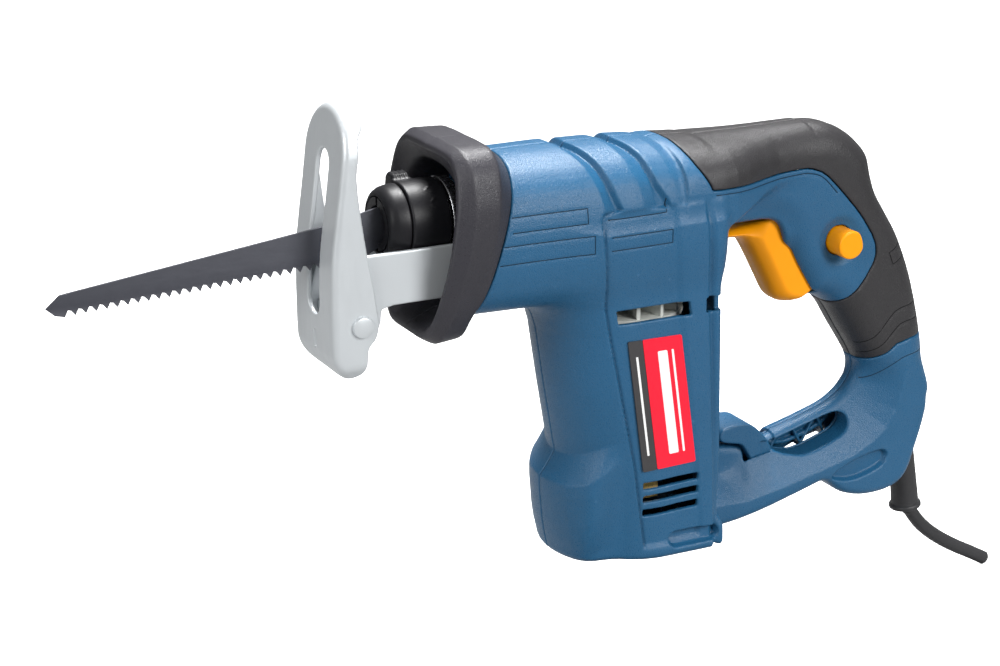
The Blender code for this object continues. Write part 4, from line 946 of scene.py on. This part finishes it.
# ---------------------------------------------------------------- shoe
# Front and rear faces of the bent plate (x, z)
SHOE_FRONT = [
    (-136.6, 219.5), (-138.2, 205.0), (-141.4, 180.0), (-143.6, 165.0), (-145.2, 153.0),
    (-145.9, 140.0), (-145.9, 113.0), (-145.0, 109.0), (-142.9, 104.6), (-139.8, 101.0),
    (-139.0, 96.0)]
SHOE_REAR = [
    (-137.0, 96.0), (-136.4, 100.6), (-132.2, 103.4), (-130.6, 108.0), (-130.4, 114.6),
    (-126.4, 118.4), (-125.2, 124.5), (-126.1, 130.0), (-127.5, 140.4), (-130.1, 154.4),
    (-133.2, 177.0), (-133.9, 188.7), (-132.6, 195.9), (-132.2, 202.6), (-129.0, 206.0),
    (-128.2, 209.5), (-128.2, 219.5)]


def build_shoe():
    grid = Grid((-147.6, -23.0, 97), (-122.5, 23.0, 216.5), coarse=0.9, fine=0.45)
    side_view = plane_of(grid.xs, grid.zs)
    front_view = plane_of(grid.ys, grid.zs)
    front = outline_distance(round_corners(SHOE_FRONT + [(-90, 96), (-90, 219.5)]), side_view)
    rear = outline_distance(round_corners([(-180, 96)] + SHOE_REAR + [(-180, 219.5)]), side_view)
    outline = outline_distance(
        arc((0, 193.0), 21.2, 0, 180, 28) + arc((-13.2, 108.6), 8.0, 180, 270, 8)
        + arc((13.2, 108.6), 8.0, 270, 360, 8), front_view)
    plate = rounded_max(front[:, None, :], outline[None], 2.8)
    plate = rounded_max(plate, rear[:, None, :], 0.4)
    # hollowed from behind
    hollow = rounded_max(outline[None] + 2.3, front[:, None, :] + 2.3, 1.4)
    hollow = np.maximum(hollow, 103.6 - grid.z)
    plate = rounded_max(plate, -hollow, 0.35)
    slot = outline_distance(stadium((0, 132.6), (0, 189.6), 6.2, 12), front_view)
    plate = rounded_max(plate, -np.maximum(slot[None], grid.x + 133.5), 0.8)
    pin_hole = point_distance(SHOE_PIVOT, side_view) - 2.75
    plate = np.maximum(plate, -pin_hole[:, None, :])
    # short upright mark sunk in the front face
    mark = np.maximum(np.abs(front_view[0]) - 0.8, np.abs(front_view[1] - 115.6) - 3.8)
    plate = plate + 1.1 * (1 - smooth_step(-0.3, 0.4, mark))[None] * (grid.x < -140)
    finish(grid.mesh(plate, "shoe_plate"), "shoe", "silver", "shoe")


def build_shoe_bracket():
    grid = Grid((-143, -19.4, 113.5), (-69.5, 19.4, 154.5), coarse=0.9, fine=0.5)
    side_view = plane_of(grid.xs, grid.zs)
    legs = np.maximum(np.abs(side_view[0] + 102.6) - 38.0, np.abs(side_view[1] - 141.9) - 11.3)
    from_pivot = point_distance(SHOE_PIVOT, side_view)
    legs = np.minimum(legs, from_pivot - 9.2)
    throat = outline_distance(
        [(-141, 131), (-141, 124.4), (-124.2, 124.4), (-122.6, 129.6), (-119.5, 131)], side_view)
    legs = smooth_min(legs, throat, 2.5)
    trim = outline_distance([(-170, 100), (-140.6, 100), (-140.6, 131.0), (-134.4, 154.0),
                             (-134.4, 175), (-170, 175)], side_view)
    legs = np.maximum(legs, -trim)
    # U-shaped strap seen from above
    strap = np.abs(outline_distance(
        [(-170, 17.0), (-72.4, 17.0), (-71.8, 16.4), (-71.8, -16.4), (-72.4, -17.0),
         (-170, -17.0)], plane_of(grid.xs, grid.ys))) - 1.15
    bracket = rounded_max(legs[:, None, :], strap[:, :, None], 0.5)
    bracket = np.maximum(bracket, -(from_pivot - 2.7)[:, None, :])
    upper = np.maximum(np.maximum(-73.9 - grid.x, 148.9 - grid.z), np.abs(grid.y) - 15.4)
    bracket = np.maximum(bracket, -upper)
    back_hole = point_distance((0, 138.6), plane_of(grid.ys, grid.zs)) - 2.7
    bracket = np.maximum(bracket, -np.maximum(back_hole[None], -80 - grid.x))
    finish(grid.mesh(bracket, "bracket_strap"), "base", "silver", "shoe_bracket")


def build_shoe_rivet():
    pivot_x, pivot_z = SHOE_PIVOT
    piece = lathe("pivot_rivet", (pivot_x, -23.1, pivot_z), (pivot_x, 23, pivot_z), [
        (0, 0), (0, 3.6), (0.3, 4.3), (0.9, 4.6), (2.1, 4.6), (2.2, 4.4), (2.2, 2.55),
        (45.6, 2.55), (46.0, 2.2), (46.0, 0)], segments=56)
    finish(piece, "base", "silver", "shoe_pivot_pin")


# ---------------------------------------------------------------- controls and hook
# Trigger outline in its own frame (along, across)
TRIGGER = [
    (-14.6, -11), (-12.6, -15.4), (-8.6, -18.3), (-4.2, -19.0), (1, -18.2), (8, -17.5),
    (8, 24.6), (1, 25.6), (-4, 25.4), (-9.5, 25.8), (-15, 27.4), (-20, 29.4), (-25.6, 31.6),
    (-26.0, 29.9), (-23, 27.3), (-19.4, 25.0), (-16.2, 22.8), (-14.8, 19.0), (-14.5, 8),
    (-14.5, -3)]
# Hanging hook outline (x, z)
HOOK = [
    (46.6, 43.2), (48.6, 45.4), (55.0, 46.4), (61.5, 46.0), (66.0, 43.0), (70.4, 38.2),
    (76.4, 31.2), (74.4, 27.4), (69.6, 23.8), (64.6, 25.6), (62.4, 29.8), (60.2, 33.4),
    (58.4, 36.2), (52.0, 37.6), (47.8, 38.8), (46.2, 41.0)]


def build_trigger():
    grid = Grid((45, -12, 97), (100, 12, 146), coarse=0.8, fine=0.42)
    plane = plane_of(grid.xs, grid.zs)
    plan = outline_distance(round_corners([trigger_point(*p) for p in TRIGGER]), plane)
    along = ((plane[0] - TRIGGER_ORIGIN[0]) * TRIGGER_AXIS[0]
             + (plane[1] - TRIGGER_ORIGIN[1]) * TRIGGER_AXIS[1])
    radius = 9.0 - 7.4 * smooth_step(-12.0, 0.0, along)
    lever = rounded_max(plan[:, None, :], np.abs(grid.y) - 10.7, radius[:, None, :])
    finish(grid.mesh(lever, "trigger_lever"), "trigger", "yellow", "trigger")


def build_lock_button():
    """A round cap with a flat at its rear, on a wider base disc."""
    mid_x, mid_z = LOCK_BUTTON
    grid = Grid((mid_x - 9, -27.0, mid_z - 9), (mid_x + 9, -10.5, mid_z + 9),
                coarse=0.6, fine=0.3)
    local_x, local_z = plane_of(grid.xs - mid_x, grid.zs - mid_z)
    disc = np.sqrt(local_x ** 2 + local_z ** 2) - 6.5
    flat = rounded_max(disc, (local_x * 0.93 + local_z * 0.25) - 5.9, 1.2)
    cap = rounded_max(flat[:, None, :], -26.0 - grid.y, 0.9)
    cap = np.maximum(cap, grid.y + 11.4)
    base = np.maximum((disc - 1.6)[:, None, :], np.abs(grid.y + 12.1) - 0.75)
    piece = grid.mesh(np.minimum(cap, base), "button_lock")
    finish(piece, "lock_button", "yellow", "lock_button")


def build_hook():
    grid = Grid((44, -10.6, 20), (79, 10.6, 51), coarse=0.7, fine=0.4)
    plane = plane_of(grid.xs, grid.zs)
    plan = outline_distance(round_corners(HOOK), plane)
    # full width above the strut, narrower where the eye turns inside it
    above = (smooth_step(0.0, 1.2, 69.0 - plane[0])
             * smooth_step(0.3, 0.9, plane[1] - 27.3 - 0.23 * (plane[0] - 60.3)))
    wide = np.maximum(smooth_step(8.0, 9.0, point_distance(HOOK_PIVOT, plane)), above)
    hook = rounded_max(plan[:, None, :], np.abs(grid.y) - (7.4 + 2.3 * wide)[:, None, :], 1.0)
    finish(grid.mesh(hook, "hook_hang"), "hang_hook", "blue", "hang_hook")
    pin_x, pin_z = HOOK_PIVOT
    pin = lathe("hook_pin", (pin_x, -7.2, pin_z), (pin_x, 7.2, pin_z), [
        (0, 0), (0, 1.2), (0.3, 1.5), (14.1, 1.5), (14.4, 1.2), (14.4, 0)], segments=40)
    finish(pin, "base", "steel", "hang_hook_pin")


# ---------------------------------------------------------------- blade clamp
def build_clamp_cap():
    piece = lathe("clamp_cap", (-116.6, 0, PLUNGER_Z), (-100, 0, PLUNGER_Z), [
        (9.0, 11.75), (9.0, 16.1), (8.2, 16.3), (3.4, 15.6), (1.0, 14.2), (0.0, 12.8),
        (0.0, 12.0), (1.2, 11.75)], segments=96, rounding=0.2)
    finish(piece, "plunger", "black", "clamp_front_cap")


def build_clamp_sleeve():
    grid = Grid((-107.6, -18, 142.6), (-89.0, 18, 182.6), coarse=0.8, fine=0.42)
    view = plane_of(grid.ys, grid.zs - PLUNGER_Z)
    radius = np.sqrt(view[0] ** 2 + view[1] ** 2)
    sleeve = rounded_max((radius - 17.0)[None], np.abs(grid.x + 98.35) - 8.8, 0.9)
    # two small raised arrow marks
    angle = np.arctan2(view[0], view[1])
    for mark_angle in (-0.95, -0.55):
        around = (angle - mark_angle) * 17.0
        chevron = np.abs((grid.x + 98.0) - np.abs(around)[None]) - 0.55
        mark = np.maximum(chevron, (np.abs(around) - 2.2)[None])
        mark = np.maximum(mark, (radius - 17.22)[None])
        sleeve = np.minimum(sleeve, np.maximum(mark, (15.5 - radius)[None]))
    # ridged lever on the upper right
    lever = outline_distance([(3.6, 14.2), (14.6, 10.6), (13.6, 16.6), (11.4, 18.9),
                              (6.6, 18.6), (4.6, 17.0)], view)
    lever = rounded_max(lever[None], np.abs(grid.x + 102.6) - 4.4, 0.7)
    ridges = 0.45 * (0.5 + 0.5 * np.cos(grid.x * 2 * math.pi / 1.9))
    lever = lever + ridges * (radius > 17.6)[None]
    sleeve = smooth_min(sleeve, lever, 0.8)
    sleeve = np.maximum(sleeve, (11.8 - radius)[None])
    finish(grid.mesh(sleeve, "clamp_sleeve"), "collar", "black", "clamp_collar")


def build_clamp_band():
    piece = lathe("clamp_band", (-88.9, 0, PLUNGER_Z), (-70, 0, PLUNGER_Z), [
        (0, 11.55), (0, 16.9), (0.3, 17.15), (4.4, 17.15), (4.8, 16.7), (4.8, 11.55)],
        segments=96, rounding=0.15)
    finish(piece, "plunger", "steel", "clamp_ring", slot="silver")


# ---------------------------------------------------------------- cord and grip screw
def build_cord_sleeve():
    top, end = (Vector((x, 0, z)) for x, z in (SLEEVE_TOP, SLEEVE_END))
    length = (end - top).length
    profile = [(0, 4.3), (0, 5.3)]
    profile += [(length * i / 20.0, 5.3 + 1.4 * i / 20.0) for i in range(1, 19)]
    profile += [(length - 2.6, 6.7), (length - 2.2, 7.3), (length - 1.6, 7.7),
                (length - 0.4, 7.7), (length, 7.3), (length, 4.3)]
    piece = lathe("cord_sleeve", top, end, profile, segments=64, rounding=0.15)
    finish(piece, "base", "rubber", "strain_relief")


def build_cord():
    """A round cord in the middle plane, from behind the trigger out through the sleeve."""
    radius, segments = 3.3, 28
    route = spline([
        trigger_point(28, -15.0), trigger_point(30, -24), (127.0, 86.0), (136.5, 66.0),
        (146.5, 46.0), SLEEVE_TOP, (154.6, 8.8), (158.6, -14.0), (161.0, -18.6),
        (163.7, -22.4), (167.6, -27.0), (173.4, -32.2), (180.9, -37.6), (189.4, -42.8),
        (198.2, -47.6), (206.6, -52.4)], 8)
    across = Vector((0, 1, 0))
    rings = []
    for i, (x, z) in enumerate(route):
        step = route[min(i + 1, len(route) - 1)] - route[max(i - 1, 0)]
        normal = Vector((step[0], 0, step[1])).normalized().cross(across)
        rings.append([Vector((x, 0, z)) + radius * (math.cos(t) * across + math.sin(t) * normal)
                      for t in np.linspace(0, 2 * math.pi, segments, endpoint=False)])
    finish(tube("cord_stub", rings, sharp=50), "base", "rubber", "power_cord")


def build_grip_screw():
    """The screw low on the grip sits deeper, where the grip is rounded off."""
    x, z = GRIP_SCREW
    piece = lathe("grip_screw", (x, -12.0, z), (x, 0, z), [
        (0, 0), (0, 2.0), (16.2, 2.0), (16.2, 3.6), (18.4, 3.6), (18.8, 3.2), (18.8, 1.4),
        (17.6, 1.2), (17.6, 0)], segments=40)
    finish(piece, "base", "steel", "housing_screw_5")


# ---------------------------------------------------------------- label
# Corners of the label on the left side (x, z): lower two, then upper two
LABEL_CORNERS = [Vector(p) for p in ((-6.1, 41.7), (20.4, 42.5), (12.1, 102.5), (-14.4, 102.9))]
LABEL_BACK_Y, PLATE_Y, PRINT_Y = -31.2, -31.95, -32.03
# name, u range (front to rear), v range (bottom to top), outer y, look, corner size
LABEL_PIECES = [
    ("label_field", (0.27, 1.0), (0.0, 1.0), PLATE_Y, "red", 0.9),
    ("label_strip", (0.0, 0.262), (0.0, 1.0), PLATE_Y, "charcoal", 0.9),
    ("label_bar_wide", (0.52, 0.70), (0.10, 0.90), PRINT_Y, "white", 0.8),
    ("label_bar_thin", (0.78, 0.82), (0.10, 0.90), PRINT_Y, "white", 0.4),
    ("label_line", (0.11, 0.15), (0.12, 0.88), PRINT_Y, "white", 0.35)]


def on_label(u, v):
    a, b, c, d = LABEL_CORNERS
    return (1 - v) * ((1 - u) * a + u * b) + v * ((1 - u) * d + u * c)


def build_label():
    for name, (u0, u1), (v0, v1), outer_y, look, corner in LABEL_PIECES:
        outline = [on_label(u0, v1), on_label(u1, v1), on_label(u1, v0), on_label(u0, v0)]
        points = []
        for i in range(4):
            before, at, after = outline[i - 1], outline[i], outline[(i + 1) % 4]
            start = at + (before - at).normalized() * corner
            end = at + (after - at).normalized() * corner
            for t in np.linspace(0, 1, 6).tolist():
                points.append((1 - t) ** 2 * start + 2 * t * (1 - t) * at + t ** 2 * end)
        rings = [[(x, y, z) for x, z in points] for y in (LABEL_BACK_Y, outer_y)]
        finish(tube(name, rings, sharp=20), "base", look, "label_plate", slot="red")


def dress_cad_nodes():
    """Give the CAD pieces the finish of their slot."""
    for entry in frame["record"]["subparts"]:
        slot = entry["material_slot"]
        plain_black = entry["node"] == "blade_clamp_body" or slot == "red"
        for material_slot in frame["nodes"][entry["node"]].material_slots:
            material_slot.material = LOOKS["black" if plain_black else slot]


# ---------------------------------------------------------------- stage (metres)
def camera_ray(tree):
    return tree.nodes.new("ShaderNodeLightPath").outputs["Is Camera Ray"]


def build_floor():
    """A pale floor that glows for the camera only, so that it reads as plain white."""
    floor_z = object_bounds()[0][2] - 0.001
    bm = bmesh.new()
    bmesh.ops.create_grid(bm, x_segments=4, y_segments=4, size=4.0)
    mesh = bpy.data.meshes.new("floor")
    bm.to_mesh(mesh)
    bm.free()
    floor = link_object("floor", mesh)
    floor.location = (0, 0, floor_z)
    pale = surface("floor_pale", (0.90, 0.90, 0.90), rough=0.8, grain=40, bump=0.02,
                   spread=0.01, edge=0.0, spec=0.1)
    tree = pale.node_tree
    principled = tree.nodes["Principled BSDF"]
    seen = camera_ray(tree)
    glow = node(tree, "ShaderNodeMath", operation="MULTIPLY")
    glow.inputs[1].default_value = 0.62
    tree.links.new(seen, glow.inputs[0])
    principled.inputs["Emission Color"].default_value = (1, 1, 1, 1)
    tree.links.new(glow.outputs[0], principled.inputs["Emission Strength"])
    # darker for bounced light than for the camera
    level = map_range(tree, seen, (0.0, 1.0), (0.30, 0.92))
    base = principled.inputs["Base Color"]
    tree.links.new(scale_colour(tree, level, source=base.links[0].from_socket), base)
    floor.data.materials.append(pale)


def build_world():
    """White for the camera, dim as a light."""
    world = bpy.data.worlds.new("studio")
    bpy.context.scene.world = world
    world.use_nodes = True
    tree = world.node_tree
    colour, strength = tree.nodes["Background"].inputs[:2]
    colour.default_value = (1, 1, 1, 1)
    tree.links.new(map_range(tree, camera_ray(tree), (0.0, 1.0), (0.24, 1.0)), strength)


def area_light(name, location, size, power):
    """A disc light aimed at the middle of the tool."""
    lamp = bpy.data.lights.new(name, "AREA")
    lamp.shape, lamp.size, lamp.energy = "DISK", size, power
    obj = link_object(name, lamp)
    obj.location = location
    aim = Vector((0.0, 0, 0.09)) - Vector(location)
    obj.rotation_euler = aim.to_track_quat("-Z", "Y").to_euler()


def build_camera():
    data = bpy.data.cameras.new("camera")
    data.sensor_width = 36.0
    data.lens = 89.64
    data.clip_start = 0.01
    camera = link_object("camera", data)
    azimuth, elevation, roll = (math.radians(a) for a in (-26.3, 18.0, 0.4))
    back = Vector((math.sin(azimuth) * math.cos(elevation),
                   -math.cos(azimuth) * math.cos(elevation), math.sin(elevation)))
    level_right = Vector((math.cos(azimuth), math.sin(azimuth), 0))
    level_up = back.cross(level_right)
    right = math.cos(roll) * level_right - math.sin(roll) * level_up
    up = math.sin(roll) * level_right + math.cos(roll) * level_up
    turn = Matrix((right, up, back)).transposed().to_4x4()
    camera.matrix_world = Matrix.Translation((-0.51249, -0.91587, 0.43675)) @ turn
    bpy.context.scene.camera = camera


# ---------------------------------------------------------------- build, in order
build_housing()
build_laid_shade_lines()
build_guard()
build_shoe()
build_shoe_bracket()
build_shoe_rivet()
build_trigger()
build_lock_button()
build_hook()
build_clamp_cap()
build_clamp_sleeve()
build_clamp_band()
build_cord_sleeve()
build_cord()
build_grip_screw()
build_label()
dress_cad_nodes()
build_floor()
build_world()
area_light("top_box", location=(0.20, 0.34, 1.22), size=0.50, power=34.0)
area_light("front_box", location=(0.55, -1.5, 0.95), size=0.9, power=30.0)
area_light("side_box", location=(-1.3, -0.5, 0.75), size=0.8, power=12.0)
try:
    bpy.context.scene.view_settings.view_transform = "Standard"
except TypeError:
    # a colour configuration without "Standard" keeps its own default
    pass
build_camera()
